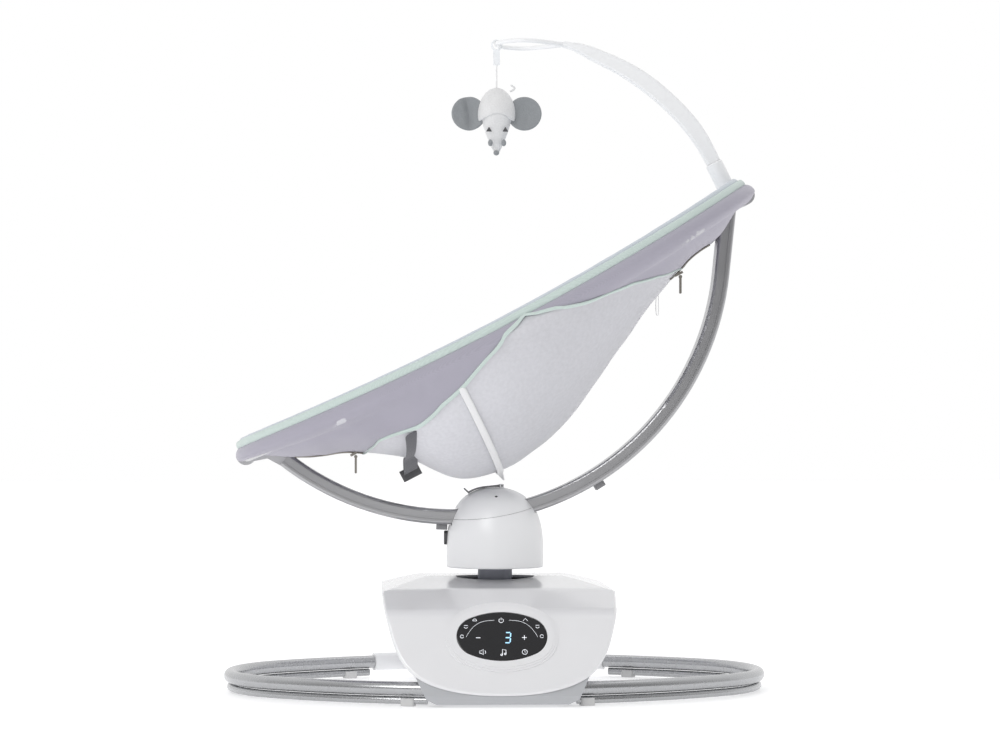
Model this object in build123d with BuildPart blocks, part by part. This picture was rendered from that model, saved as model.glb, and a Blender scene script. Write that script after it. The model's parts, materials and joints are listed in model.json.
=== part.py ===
from build123d import *
import os
from math import acos, cos, degrees, pi, radians, sin, sqrt, tan

# Electric baby swing, in millimetres. +X points to the head end, +Y to the back and +Z up.
# The origin is on the floor under the middle of the base. The seat stands at its most upright
# recline, the lift is down and the sway is in the middle of its stroke.

os.makedirs("parts", exist_ok=True)

# ---------------------------------------------------------------- driving dimensions
RING_A, RING_B, RING_END = 316.0, 192.0, 130.0  # floor ring centreline: half axes, end radius
RING_TUBE, RING_WALL, RING_Z = 8.0, 1.5, 19.5  # tube radius, wall, centreline height
LOWER_TUBE, LOWER_Z = 4.5, 6.5  # lower ring: radius, centreline height
SOCKET_R, SOCKET_IN, SOCKET_OUT = 11.0, 98.0, 146.0  # rear sockets: radius, reach along X
RING_END_X = 106.0  # where the ring's ends stop inside the sockets

HOUSING_Y, HOUSING_FOOT = 208.0, 13.0  # half depth at the foot, height of the cover's lower edge
HOUSING_TOP_X, HOUSING_SHOULDER, CROWN_Z = 136.0, 124.0, 140.0
COVER_WALL, TRAY_WALL, CREASE_R = 3.0, 2.5, 3.0
TRAY_Z, TRAY_TOP, TRAY_RIM = 3.0, 46.0, 37.0  # floor, top of its flared sides, and its rim
FACE_TILT = 27.0  # the front face leans back from the vertical
PANEL_A, PANEL_B, PANEL_END = 51.5, 30.0, 24.0  # touch lens half axes and end radius
PANEL_Z = 77.0

NECK_X, NECK_Y, NECK_R = 41.0, 30.0, 12.0  # neck column outline and its corner radius
NECK_IN, NECK_IN_R = 6.0, 9.0  # how much narrower its bore is, and the bore's corner radius
SLOT_LENGTH, SLOT_WIDTH = 95.0, 56.0
ROD_R, ROD_Y, ROD_Z, ROD_HALF = 5.0, 45.0, 60.0, 76.0
CARRIAGE_X, CARRIAGE_Y, CARRIAGE_T = 35.0, 56.0, 16.0
GEAR_MODULE, GEAR_TEETH, RACK_TEETH = 1.25, 18, 18  # an even rack puts a gap at its middle
SCREW_R = 4.0
RUNNING = 0.05  # radial clearance of shafts in their bores

POD_Z = 147.6
RAIL_X, RAIL_Z, RAIL_R = -51.0, 533.0, 325.0  # centre and radius of the rail's arc
RAIL_T, RAIL_W, RAIL_GROOVE = 18.0, 34.0, 2.0  # radial thickness, width along Y, side groove
RAIL_FOOT, RAIL_HEAD = -38.0, 84.0  # angles of the arc's ends from straight down
RAIL_TAIL = 78.0  # straight run above the arc at the head end
ROLLER_R, HOLD_R = 9.0, 6.5

SEAT_X, SEAT_Z, SEAT_TILT = 1.5, 438.0, 27.6  # middle of the hoop's chord, and its slope
HOOP_A, HOOP_B, HOOP_POWER = 337.5, 192.0, 2.2  # hoop centreline: superellipse half axes, power
HOOP_SAG, HOOP_TUBE = 20.0, 8.0
CLOTH = 2.5

PLUG_AXIS = (-0.45, 0.0, 0.893)  # toy bar plug, pointing up
PLUG_X, PLUG_Z = 275.5, 611.0  # where the plug's axis leaves the fabric
LOOP_Z, LOOP_R, LOOP_ROD, LOOP_X = 775.5, 31.0, 2.75, 33.0


# ---------------------------------------------------------------- shared geometry
def oval_tangent(a, b, end):
    """Side radius and tangent point of a four-arc oval."""
    side = ((a - end) ** 2 + b**2 - end**2) / (2 * (b - end))
    reach = side - end
    return side, (a - end) + end * (a - end) / reach, end * (side - b) / reach


def draw_oval(a, b, end):
    """A closed four-arc oval on the current line."""
    _, tx, ty = oval_tangent(a, b, end)
    ThreePointArc((tx, -ty), (a, 0), (tx, ty))
    ThreePointArc((tx, ty), (0, b), (-tx, ty))
    ThreePointArc((-tx, ty), (-a, 0), (-tx, -ty))
    ThreePointArc((-tx, -ty), (0, -b), (tx, -ty))


def ring_point(x, back=1):
    """Point of the floor ring's side arc at x, on the back (1) or the front (-1)."""
    side, _, _ = oval_tangent(RING_A, RING_B, RING_END)
    return x, back * (sqrt(side**2 - x**2) - (side - RING_B))


def ring_arc(x_from, x_to, back):
    """An arc of the floor ring's side between two x values."""
    middle = ring_point((x_from + x_to) / 2, back)
    ThreePointArc(ring_point(x_from, back), middle, ring_point(x_to, back))


def ring_side(sign, x_back, x_front):
    """One end of the floor ring, from its back arc round the end to its front arc."""
    _, tx, ty = oval_tangent(RING_A, RING_B, RING_END)
    ring_arc(sign * x_back, sign * tx, 1)
    ThreePointArc((sign * tx, ty), (sign * RING_A, 0), (sign * tx, -ty))
    ring_arc(sign * tx, sign * x_front, -1)


def rail_plane(angle, radius=RAIL_R):
    """Plane at an angle along the rail: x across it to -Y, y towards its axis, z along it."""
    a = radians(angle)
    origin = (RAIL_X + radius * sin(a), 0, RAIL_Z - radius * cos(a))
    return Plane(origin=origin, x_dir=(0, -1, 0), z_dir=(cos(a), 0, sin(a)))


def rail_xz(angle, radius):
    """X and Z of a point at an angle and radius about the rail's axis."""
    a = radians(angle)
    return RAIL_X + radius * sin(a), RAIL_Z - radius * cos(a)


TILT = radians(SEAT_TILT)


def seat_point(s, y, n):
    """World point from the seat's own directions: s to the head, y back, n up from the hoop."""
    x = SEAT_X + s * cos(TILT) - n * sin(TILT)
    return x, y, SEAT_Z + s * sin(TILT) + n * cos(TILT)


def seat_plane(s, n=0.0):
    """Cross-section plane of the seat: x along +Y, y up from the hoop, z to the head."""
    return Plane(
        origin=seat_point(s, 0, n), x_dir=(0, 1, 0), z_dir=(cos(TILT), 0, sin(TILT))
    )


def hoop_point(turn):
    """World point of the hoop's centreline at an angle round it, 0 at the head end."""
    c, d = cos(radians(turn)), sin(radians(turn))
    power = 2 / HOOP_POWER
    s = HOOP_A * abs(c) ** power * (1 if c >= 0 else -1)
    y = HOOP_B * abs(d) ** power * (1 if d >= 0 else -1)
    return seat_point(s, y, -HOOP_SAG * (1 - (s / HOOP_A) ** 2))


def hoop_half_width(s, inset=0.0):
    """Half width of the hoop at s, measured to a line inset from its centreline."""
    share = min(abs(s) / (HOOP_A - inset), 1.0)
    return (HOOP_B - inset) * (1 - share**HOOP_POWER) ** (1 / HOOP_POWER)


# Depth of the sling's lowest line below the hoop's chord, at places along the seat.
SLING_LINE = (
    (-330, 10), (-313, 16), (-276, 34), (-230, 48), (-207, 63), (-166, 90), (-143, 124),
    (-128, 140), (-108, 150), (-80, 156), (-50, 156), (-13, 151), (17, 142), (47, 129),
    (82, 110), (149, 75), (180, 60), (210, 47), (240, 34), (264, 31), (281, 33), (300, 24),
    (318, 16), (330, 13),
)


def sling_depth(s):
    """Depth of the sling's lowest line at s, between the listed places."""
    for (s0, d0), (s1, d1) in zip(SLING_LINE, SLING_LINE[1:]):
        if s0 <= s <= s1:
            return d0 + (d1 - d0) * (s - s0) / (s1 - s0)
    raise ValueError(s)


def save(part, name):
    """Label a finished piece and write its STEP file."""
    part.part.label = name
    export_step(part.part, f"parts/{name}.step")


# ---------------------------------------------------------------- floor ring
with BuildPart() as base_ring:
    with BuildLine() as ring_line:
        ring_side(-1, RING_END_X, 60)
        ring_arc(-60, 60, -1)
        ring_side(1, RING_END_X, 60)
    with BuildSketch(Plane(origin=(-RING_A, 0, 0), x_dir=(1, 0, 0), z_dir=(0, -1, 0))):
        Circle(RING_TUBE)
        Circle(RING_TUBE - RING_WALL, mode=Mode.SUBTRACT)
    sweep(path=ring_line.wire())
base_ring.part.locate(Location((0, 0, RING_Z)))
save(base_ring, "base_ring")

LOWER_END_X = 152.0  # where the lower ring's halves stop at the rear, beside the sockets
with BuildPart() as lower_ring:
    for sign in (-1, 1):
        with BuildLine() as lower_line:
            ring_side(sign, LOWER_END_X, 84)
        with BuildSketch(Plane(origin=lower_line.line @ 0, z_dir=lower_line.line % 0)):
            Circle(LOWER_TUBE)
        sweep(path=lower_line.wire())
lower_ring.part.locate(Location((0, 0, LOWER_Z)))
save(lower_ring, "lower_ring")

# White sockets that the ring's ends plug into, at the rear of the housing.
with BuildPart() as ring_sockets:
    for sign in (-1, 1):
        with BuildLine() as socket_line:
            ring_arc(sign * SOCKET_OUT, sign * SOCKET_IN, 1)
        with BuildSketch(Plane(origin=socket_line.line @ 0, z_dir=socket_line.line % 0)):
            Circle(SOCKET_R)
            Circle(RING_TUBE, mode=Mode.SUBTRACT)
        sweep(path=socket_line.wire())
ring_sockets.part.locate(Location((0, 0, RING_Z)))
save(ring_sockets, "ring_sockets")

# Clip feet: each wraps the lower ring and stands on the floor.
FEET = ((-106, -1), (96, -1), (-176, 1), (176, 1))  # x, and front or back
FOOT_L, FOOT_W, FOOT_H = 16.0, 13.0, 9.0
with BuildPart() as ring_feet:
    for foot_x, back in FEET:
        x, y = ring_point(foot_x, back)
        side, _, _ = oval_tangent(RING_A, RING_B, RING_END)
        along = (sqrt(side**2 - x**2), -back * x, 0)
        foot_at = Plane(origin=(x, y, 0), x_dir=along)
        with BuildSketch(foot_at):
            RectangleRounded(FOOT_L, FOOT_W, 3)
        extrude(amount=FOOT_H)
        with BuildSketch(Plane((x, y, LOWER_Z), foot_at.y_dir, foot_at.x_dir)):
            Circle(LOWER_TUBE + 0.15)
        extrude(amount=20, both=True, mode=Mode.SUBTRACT)
save(ring_feet, "ring_feet")

# ---------------------------------------------------------------- motor housing
def draw_shield(inset):
    """Front outline of the cover: narrow foot, wide shoulders and a crowned top."""
    w = inset
    right = Spline(
        (0, HOUSING_FOOT + w),
        (58 - 0.4 * w, HOUSING_FOOT + 5 + w),
        (101 - 0.8 * w, 36 + 0.7 * w),
        (122 - w, 67),
        (131 - w, 98),
        (HOUSING_TOP_X - w, HOUSING_SHOULDER - w),
        tangents=[(1, 0), (0.12, 1)],
    )
    crown = Spline(
        (HOUSING_TOP_X - w, HOUSING_SHOULDER - w),
        (74, CROWN_Z - 2 - w),
        (0, CROWN_Z + 1 - w),
        tangents=[(-0.95, 0.26), (-1, 0)],
    )
    mirror(right, about=Plane.YZ)
    mirror(crown, about=Plane.YZ)


def draw_side(inset):
    """Side outline of the cover: a face that leans back, a rounded shoulder and a crown."""
    y = HOUSING_Y - inset
    lean = tan(radians(FACE_TILT))
    face_top = 104.0
    face_y = -y + (face_top - HOUSING_FOOT) * lean
    FilletPolyline(
        (-y, -20),
        (-y, HOUSING_FOOT),
        (face_y, face_top),
        (-92, 127 - inset),
        (0, 137 - inset),
        (96, 136 - inset),
        (158 - inset, 108 - inset),
        (y, 30),
        (y, -20),
        radius=(3, 30, 60, 80, 40, 40, 20),
    )
    Line((-y, -20), (y, -20))


def housing_block(inset):
    """Solid housing shape: the front outline and the side outline crossed."""
    with BuildPart(mode=Mode.PRIVATE) as block:
        with BuildSketch(Plane.XZ):
            with BuildLine():
                draw_shield(inset)
            make_face()
        extrude(amount=HOUSING_Y + 20, both=True)
        with BuildSketch(Plane.YZ):
            with BuildLine():
                draw_side(inset)
            make_face()
        extrude(amount=HOUSING_TOP_X + 20, both=True, mode=Mode.INTERSECT)
    return block.part


def tray_outline(inset):
    """Corners of the tray's front outline: flared sides that rise inside the cover."""
    right = (
        (74 - inset, TRAY_Z + inset),
        (86 - inset, 9 + inset / 2),
        (104 - inset, TRAY_TOP),
    )
    return [(-x, z) for x, z in right] + list(reversed(right))


FACE_Y = -HOUSING_Y + (PANEL_Z - HOUSING_FOOT) * tan(radians(FACE_TILT))
FACE = Plane(
    origin=(0, FACE_Y, PANEL_Z),
    x_dir=(1, 0, 0),
    z_dir=(0, -cos(radians(FACE_TILT)), sin(radians(FACE_TILT))),
)
BEZEL_GROW, BEZEL_SEAT = 12.5, 6.0  # the bezel's rim and its seat in the cover, beyond the lens



def ring_bore(radius, height, x_from, x_to, back):
    """Solid rod along the ring's side arc, for the holes that the ring passes through."""
    with BuildPart(mode=Mode.PRIVATE) as rod:
        with BuildLine() as rod_line:
            ring_arc(x_from, x_to, back)
        with BuildSketch(Plane(origin=rod_line.line @ 0, z_dir=rod_line.line % 0)):
            Circle(radius)
        sweep(path=rod_line.wire())
    return Pos(0, 0, height) * rod.part


GAP = 0.3
JACK = Plane(origin=(30, HOUSING_Y - 18, 26), x_dir=(1, 0, 0), z_dir=(0, 1, 0))
JACK_R = 5.0
SCREW_GRID = (120, 200, 2, 2)
SCREW_SHANK = 2.0
RING_HOLES = [ring_bore(RING_TUBE + GAP, RING_Z, -150, 150, -1)]
for sign in (-1, 1):
    RING_HOLES.append(ring_bore(SOCKET_R + GAP, RING_Z, sign * 92, sign * 150, 1))
    RING_HOLES.append(ring_bore(LOWER_TUBE + GAP, LOWER_Z, sign * 66, sign * 150, -1))
    RING_HOLES.append(ring_bore(LOWER_TUBE + GAP, LOWER_Z, sign * 110, sign * 150, 1))

TRAY_INSET = 5.0  # the tray's front and back lie behind the cover's


def tray_block(inset, foot):
    """Solid tray shape, cut to the housing's side outline."""
    with BuildPart(mode=Mode.PRIVATE) as block:
        with BuildSketch(Plane.XZ):
            Polygon(*tray_outline(inset), align=None)
            with Locations((0, foot - 20)):
                Rectangle(2 * HOUSING_Y, 40, mode=Mode.SUBTRACT)
        extrude(amount=HOUSING_Y, both=True)
        with BuildSketch(Plane.YZ):
            with BuildLine():
                draw_side(TRAY_INSET + inset)
            make_face()
        extrude(amount=HOUSING_Y, both=True, mode=Mode.INTERSECT)
    return block.part


with BuildPart() as cover:
    add(housing_block(0))
    creases = cover.edges() - cover.edges().filter_by(Axis.X) - cover.edges().filter_by(Axis.Y)
    fillet(creases.filter_by(lambda e: e.center().Z > HOUSING_FOOT + 1), CREASE_R)
    add(housing_block(COVER_WALL), mode=Mode.SUBTRACT)
    add(tray_block(-0.4, TRAY_Z - 10), mode=Mode.SUBTRACT)
    with BuildSketch(Plane.XY.offset(CROWN_Z + 10)):
        Ellipse(SLOT_LENGTH / 2, SLOT_WIDTH / 2)
    extrude(amount=-40, mode=Mode.SUBTRACT)
    with BuildSketch(FACE.offset(3)):
        with BuildLine():
            draw_oval(PANEL_A + BEZEL_SEAT, PANEL_B + BEZEL_SEAT, PANEL_END + BEZEL_SEAT)
        make_face()
    extrude(amount=-14, mode=Mode.SUBTRACT)
    for hole in RING_HOLES:
        add(hole, mode=Mode.SUBTRACT)
    with BuildSketch(JACK):
        Circle(JACK_R + GAP)
    extrude(amount=30, mode=Mode.SUBTRACT)
save(cover, "housing_cover")

with BuildPart() as tray:
    add(tray_block(0, TRAY_Z))
    fillet(tray.edges().filter_by(Axis.X).group_by(Axis.Z)[0], 2)
    add(tray_block(TRAY_WALL, TRAY_Z + TRAY_WALL), mode=Mode.SUBTRACT)
    with BuildSketch(Plane.XY.offset(TRAY_RIM)):
        Rectangle(2 * HOUSING_Y, 2 * HOUSING_Y)
    extrude(amount=TRAY_TOP, mode=Mode.SUBTRACT)
    for hole in RING_HOLES:
        add(hole, mode=Mode.SUBTRACT)
    with BuildSketch(JACK):
        Circle(JACK_R + GAP)
    extrude(amount=30, mode=Mode.SUBTRACT)
    with Locations((0, 0, TRAY_Z + TRAY_WALL / 2)):
        with GridLocations(*SCREW_GRID):
            Cylinder(SCREW_SHANK, 2 * TRAY_WALL, mode=Mode.SUBTRACT)
save(tray, "base_tray")

# ---------------------------------------------------------------- control panel
with BuildPart() as bezel:
    # Flat ring with two raised steps, seated in the cover's oval hole.
    steps = ((BEZEL_GROW, 0.0, 1.2), (BEZEL_GROW - 2.5, 1.2, 0.7), (BEZEL_GROW - 5, 1.9, 0.7))
    for grow, low, high in steps:
        with BuildSketch(FACE.offset(low)):
            with BuildLine():
                draw_oval(PANEL_A + grow, PANEL_B + grow, PANEL_END + grow)
            make_face()
        extrude(amount=high)
    with BuildSketch(FACE):
        with BuildLine():
            seat = BEZEL_SEAT - GAP
            draw_oval(PANEL_A + seat, PANEL_B + seat, PANEL_END + seat)
        make_face()
    extrude(amount=-5)
    with BuildSketch(FACE.offset(-5)):
        with BuildLine():
            draw_oval(PANEL_A, PANEL_B, PANEL_END)
        make_face()
    extrude(amount=10, mode=Mode.SUBTRACT)
save(bezel, "panel_bezel")

with BuildPart() as lens:
    with BuildSketch(FACE.offset(-1.5)):
        with BuildLine():
            draw_oval(PANEL_A, PANEL_B, PANEL_END)
        make_face()
    extrude(amount=3.2)
    fillet(lens.edges().group_by(Axis(FACE.origin, FACE.z_dir))[-1], 1.2)
save(lens, "panel_lens")

with BuildPart() as panel_board:
    with BuildSketch(FACE.offset(-6)):
        SlotOverall(92, 48)
    extrude(amount=1.6)
    with BuildSketch(FACE.offset(-4.4)):
        with GridLocations(28, 0, 3, 1):
            Rectangle(14, 18)
    extrude(amount=1.8)
save(panel_board, "panel_board")

# ---------------------------------------------------------------- sway mechanism
CHASSIS_Z = TRAY_Z + TRAY_WALL + 3
with BuildPart() as chassis:
    with BuildSketch(Plane.XY.offset(CHASSIS_Z)):
        Rectangle(144, 230)
    extrude(amount=3)
    with BuildSketch(Plane.XY.offset(TRAY_Z + TRAY_WALL)):
        with GridLocations(*SCREW_GRID):
            Circle(6)
    extrude(amount=3)
    with BuildSketch(Plane.XY.offset(TRAY_Z + TRAY_WALL)):
        with GridLocations(*SCREW_GRID):
            Circle(SCREW_SHANK)
    extrude(amount=6, mode=Mode.SUBTRACT)
    with BuildSketch(Plane.XY.offset(CHASSIS_Z + 3)):
        with GridLocations(2 * 70, 2 * ROD_Y, 2, 2):
            RectangleRounded(10, 24, 2)
    extrude(amount=ROD_Z + 10 - CHASSIS_Z - 3)
    with BuildSketch(Plane.YZ):
        with Locations((-ROD_Y, ROD_Z), (ROD_Y, ROD_Z)):
            Circle(ROD_R)
    extrude(amount=100, both=True, mode=Mode.SUBTRACT)
save(chassis, "chassis")

with BuildPart() as guide_rods:
    with BuildSketch(Plane.YZ):
        with Locations((-ROD_Y, ROD_Z), (ROD_Y, ROD_Z)):
            Circle(ROD_R)
    extrude(amount=ROD_HALF, both=True)
    chamfer(guide_rods.edges().filter_by(GeomType.CIRCLE), 0.6)
save(guide_rods, "guide_rods")

BUSH_R = ROD_R + 2.5
PLATE = Plane.XY.offset(ROD_Z - CARRIAGE_T / 2)
with BuildPart() as carriage:
    with BuildSketch(PLATE):
        RectangleRounded(2 * CARRIAGE_X, 2 * CARRIAGE_Y, 4)
        Circle(SCREW_R + 1.5, mode=Mode.SUBTRACT)
    extrude(amount=CARRIAGE_T)
    with BuildSketch(PLATE.offset(CARRIAGE_T)):
        RectangleRounded(NECK_X + 7, NECK_Y + 7, NECK_R + 3.5)
        RectangleRounded(NECK_X + 0.6, NECK_Y + 0.6, NECK_R + GAP, mode=Mode.SUBTRACT)
    extrude(amount=50)
    with BuildSketch(Plane.YZ):
        with Locations((-ROD_Y, ROD_Z), (ROD_Y, ROD_Z)):
            Circle(BUSH_R)
    extrude(amount=60, both=True, mode=Mode.SUBTRACT)
save(carriage, "carriage")

with BuildPart() as slide_bushes:
    for side in (-1, 1):
        with BuildSketch(Plane.YZ.offset(side * (CARRIAGE_X - 12) - 10)):
            with Locations((-ROD_Y, ROD_Z), (ROD_Y, ROD_Z)):
                Circle(BUSH_R)
                Circle(ROD_R + RUNNING, mode=Mode.SUBTRACT)
        extrude(amount=20)
save(slide_bushes, "slide_bushes")

# Rack on the carriage's back edge and the pinion that drives it, in mesh at mid stroke.
PITCH_R = GEAR_MODULE * GEAR_TEETH / 2
RACK_PITCH_Y = CARRIAGE_Y + 6.0
PINION_Y = RACK_PITCH_Y + PITCH_R
GEAR_T = 9.0
TOOTH_PITCH = pi * GEAR_MODULE
PRESSURE = radians(20)
BACKLASH = 0.12


def rack_corners():
    """Outline of the rack: straight-sided teeth that point to the pinion."""
    half_top = TOOTH_PITCH / 4 - GEAR_MODULE * tan(PRESSURE) - BACKLASH / 2
    depth = 1.25 * GEAR_MODULE
    half_root = TOOTH_PITCH / 4 + depth * tan(PRESSURE) - BACKLASH / 2
    points = [(-RACK_TEETH * TOOTH_PITCH / 2, CARRIAGE_Y)]
    for tooth in range(RACK_TEETH):
        x = (tooth - (RACK_TEETH - 1) / 2) * TOOTH_PITCH
        points.append((x - half_root, RACK_PITCH_Y - depth))
        points.append((x - half_top, RACK_PITCH_Y + GEAR_MODULE))
        points.append((x + half_top, RACK_PITCH_Y + GEAR_MODULE))
        points.append((x + half_root, RACK_PITCH_Y - depth))
    points.append((RACK_TEETH * TOOTH_PITCH / 2, CARRIAGE_Y))
    return points


def pinion_corners():
    """Outline of the pinion with involute flanks, one tooth facing the rack's middle gap."""
    base = PITCH_R * cos(PRESSURE)
    tip, root = PITCH_R + GEAR_MODULE, PITCH_R - 1.25 * GEAR_MODULE

    def half_angle(radius):
        """Half the tooth's angle at a radius, from the involute of the base circle."""
        pressure = acos(base / max(radius, base))
        involute = tan(pressure) - pressure
        middle = tan(PRESSURE) - PRESSURE
        return pi / (2 * GEAR_TEETH) - BACKLASH / (2 * PITCH_R) + middle - involute

    radii = [root, base] + [base + (tip - base) * step / 4 for step in range(1, 5)]
    points = []
    for tooth in range(GEAR_TEETH):
        centre = -pi / 2 + tooth * 2 * pi / GEAR_TEETH
        for radius in radii:
            angle = centre - half_angle(radius)
            points.append((radius * cos(angle), PINION_Y + radius * sin(angle)))
        for radius in reversed(radii):
            angle = centre + half_angle(radius)
            points.append((radius * cos(angle), PINION_Y + radius * sin(angle)))
    return points


with BuildPart() as rack:
    with BuildSketch(Plane.XY.offset(ROD_Z - GEAR_T / 2)):
        Polygon(*rack_corners(), align=None)
    extrude(amount=GEAR_T)
save(rack, "sway_rack")

MOTOR_TOP = 46.0
with BuildPart() as pinion:
    with BuildSketch(Plane.XY.offset(ROD_Z - GEAR_T / 2)):
        Polygon(*pinion_corners(), align=None)
    extrude(amount=GEAR_T)
    with BuildSketch(Plane.XY.offset(MOTOR_TOP - 12)):
        with Locations((0, PINION_Y)):
            Circle(3)
    extrude(amount=ROD_Z + GEAR_T / 2 + 2 - MOTOR_TOP + 12)
save(pinion, "sway_pinion")

with BuildPart() as sway_motor:
    with BuildSketch(Plane.XY.offset(CHASSIS_Z + 3)):
        with Locations((0, PINION_Y)):
            Circle(18)
    extrude(amount=MOTOR_TOP - CHASSIS_Z - 5)
    with BuildSketch(Plane.XY.offset(MOTOR_TOP - 6)):
        with Locations((0, PINION_Y)):
            SlotOverall(56, 22)
            Circle(18)
    extrude(amount=4)
    with BuildSketch(Plane.XY.offset(MOTOR_TOP - 2)):
        with Locations((0, PINION_Y)):
            Circle(7)
    extrude(amount=2)
    with BuildSketch(Plane.XY.offset(MOTOR_TOP)):
        with Locations((0, PINION_Y)):
            Circle(3 + RUNNING)
    extrude(amount=-13, mode=Mode.SUBTRACT)
save(sway_motor, "sway_motor")

# ---------------------------------------------------------------- lift mechanism
with BuildPart() as lift_motor:
    with BuildSketch(PLATE):
        RectangleRounded(46, 34, 4)
    extrude(amount=-6)
    with BuildSketch(PLATE.offset(-6)):
        Circle(16)
    extrude(amount=-28)
    with BuildSketch(PLATE):
        Circle(SCREW_R + RUNNING)
    extrude(amount=-14, mode=Mode.SUBTRACT)
save(lift_motor, "lift_motor")

NUT_Z, COLUMN_TOP = 76.0, 158.0
with BuildPart() as lift_screw:
    with BuildSketch(PLATE.offset(-13)):
        Circle(SCREW_R)
    extrude(amount=145 - (PLATE.origin.Z - 13))
    with BuildSketch(PLATE.offset(CARRIAGE_T)):
        Circle(SCREW_R + 3)
    extrude(amount=3)
save(lift_screw, "lift_screw")

with BuildPart() as lift_nut:
    with BuildSketch(Plane.XY.offset(NUT_Z)):
        RectangleRounded(NECK_X - NECK_IN, NECK_Y - NECK_IN, NECK_IN_R)
        Circle(SCREW_R + RUNNING, mode=Mode.SUBTRACT)
    extrude(amount=12)
save(lift_nut, "lift_nut")

with BuildPart() as column:
    with BuildSketch(Plane.XY.offset(NUT_Z - 2)):
        RectangleRounded(NECK_X, NECK_Y, NECK_R)
        RectangleRounded(NECK_X - NECK_IN, NECK_Y - NECK_IN, NECK_IN_R, mode=Mode.SUBTRACT)
    extrude(amount=COLUMN_TOP - NUT_Z + 2)
    with BuildSketch(Plane.XY.offset(COLUMN_TOP - 3)):
        RectangleRounded(NECK_X + 14, NECK_Y + 22, 3)
        RectangleRounded(NECK_X - NECK_IN, NECK_Y - NECK_IN, NECK_IN_R, mode=Mode.SUBTRACT)
    extrude(amount=3)
save(column, "neck_column")

# ---------------------------------------------------------------- electronics and fasteners
with BuildPart() as main_board:
    with BuildSketch(Plane.XY.offset(CHASSIS_Z + 6)):
        with Locations((0, -88)):
            Rectangle(100, 34)
    extrude(amount=1.6)
    with BuildSketch(Plane.XY.offset(CHASSIS_Z + 7.6)):
        with Locations((0, -88)):
            with GridLocations(30, 0, 3, 1):
                Rectangle(16, 16)
    extrude(amount=5)
    with BuildSketch(Plane.XY.offset(CHASSIS_Z + 3)):
        with Locations((0, -88)):
            with GridLocations(86, 22, 2, 2):
                Circle(3)
    extrude(amount=3)
save(main_board, "main_board")

with BuildPart() as speaker:
    with BuildSketch(Plane.XY.offset(TRAY_Z + TRAY_WALL)):
        with Locations((0, -148)):
            Circle(22)
    extrude(amount=5)
    with BuildSketch(Plane.XY.offset(TRAY_Z + TRAY_WALL + 5)):
        with Locations((0, -148)):
            Circle(21)
    extrude(amount=9, taper=35)
    with BuildSketch(Plane.XY.offset(TRAY_Z + TRAY_WALL + 13.9)):
        with Locations((0, -148)):
            Circle(10)
    extrude(amount=6)
save(speaker, "speaker")

with BuildPart() as jack:
    with BuildSketch(JACK):
        Circle(JACK_R)
    extrude(amount=18)
    with BuildSketch(JACK):
        RectangleRounded(15, 12, 2)
    extrude(amount=-10)
    with BuildSketch(JACK.offset(18)):
        Circle(2.8)
    extrude(amount=-14, mode=Mode.SUBTRACT)
save(jack, "power_jack")

with BuildPart() as chassis_screws:
    with BuildSketch(Plane.XY.offset(TRAY_Z)):
        with GridLocations(*SCREW_GRID):
            Circle(4)
    extrude(amount=-1.6)
    with BuildSketch(Plane.XY.offset(TRAY_Z)):
        with GridLocations(*SCREW_GRID):
            Circle(SCREW_SHANK)
    extrude(amount=CHASSIS_Z + 2 - TRAY_Z)
    fillet(chassis_screws.faces().group_by(Axis.Z)[0].edges(), 1)
save(chassis_screws, "chassis_screws")

# ---------------------------------------------------------------- pod
POD_R, POD_SHOULDER, POD_DOME, POD_POWER = 58.1, 168.0, 75.0, 2.45
POD_WALL, POD_FLOOR = 2.5, COLUMN_TOP
SEAM_R = RAIL_R + 3.0  # the pod splits on a cylinder about the rail's axis


def pod_outline(inset):
    """Points of the pod's dome from its shoulder to its top, in radius and height."""
    points = []
    for turn in range(0, 91, 15):
        c, d = max(cos(radians(turn)), 0.0), sin(radians(turn))
        radius = (POD_R - inset) * c ** (2 / POD_POWER)
        points.append((radius, POD_SHOULDER + (POD_DOME - inset) * d ** (2 / POD_POWER)))
    return points


def dome_height(x):
    """Height of the dome's surface at a distance from its axis."""
    return POD_SHOULDER + POD_DOME * (1 - (abs(x) / POD_R) ** POD_POWER) ** (1 / POD_POWER)


def pod_block(inset):
    """Solid dome, turned about the vertical."""
    with BuildPart(mode=Mode.PRIVATE) as dome:
        with BuildSketch(Plane.XZ):
            with BuildLine():
                points = pod_outline(inset)
                Spline(*points, tangents=[(0, 1), (-1, 0)])
                Polyline(points[-1], (0, POD_Z), (points[0][0], POD_Z), points[0])
            make_face()
        revolve(axis=Axis.Z)
    return dome.part


def rail_drum(radius, half_width):
    """Cylinder about the rail's axis."""
    with BuildPart(mode=Mode.PRIVATE) as drum:
        with BuildSketch(Plane.XZ):
            with Locations((RAIL_X, RAIL_Z)):
                Circle(radius)
        extrude(amount=half_width, both=True)
    return drum.part


RAIL_GAP = 1.2
RAIL_CHANNEL = rail_drum(RAIL_R + RAIL_T / 2 + RAIL_GAP, RAIL_W / 2 + RAIL_GAP) - rail_drum(
    RAIL_R - RAIL_T / 2 - RAIL_GAP, RAIL_W
)
BUTTON_Z, BUTTON_H, BUTTON_W = 183.0, 17.0, 12.0
BUTTON = Plane(origin=(-POD_R, 0, BUTTON_Z), x_dir=(0, 1, 0), z_dir=(-1, 0, 0))
SENSOR = Plane(origin=(0, -35.2, 233), x_dir=(1, 0, 0), z_dir=(0, -0.61, 0.79))
LEVER_X, LEVER_Z, LEVER_W, LEVER_PIN = 8.0, 245.2, 16.0, 1.2

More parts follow.
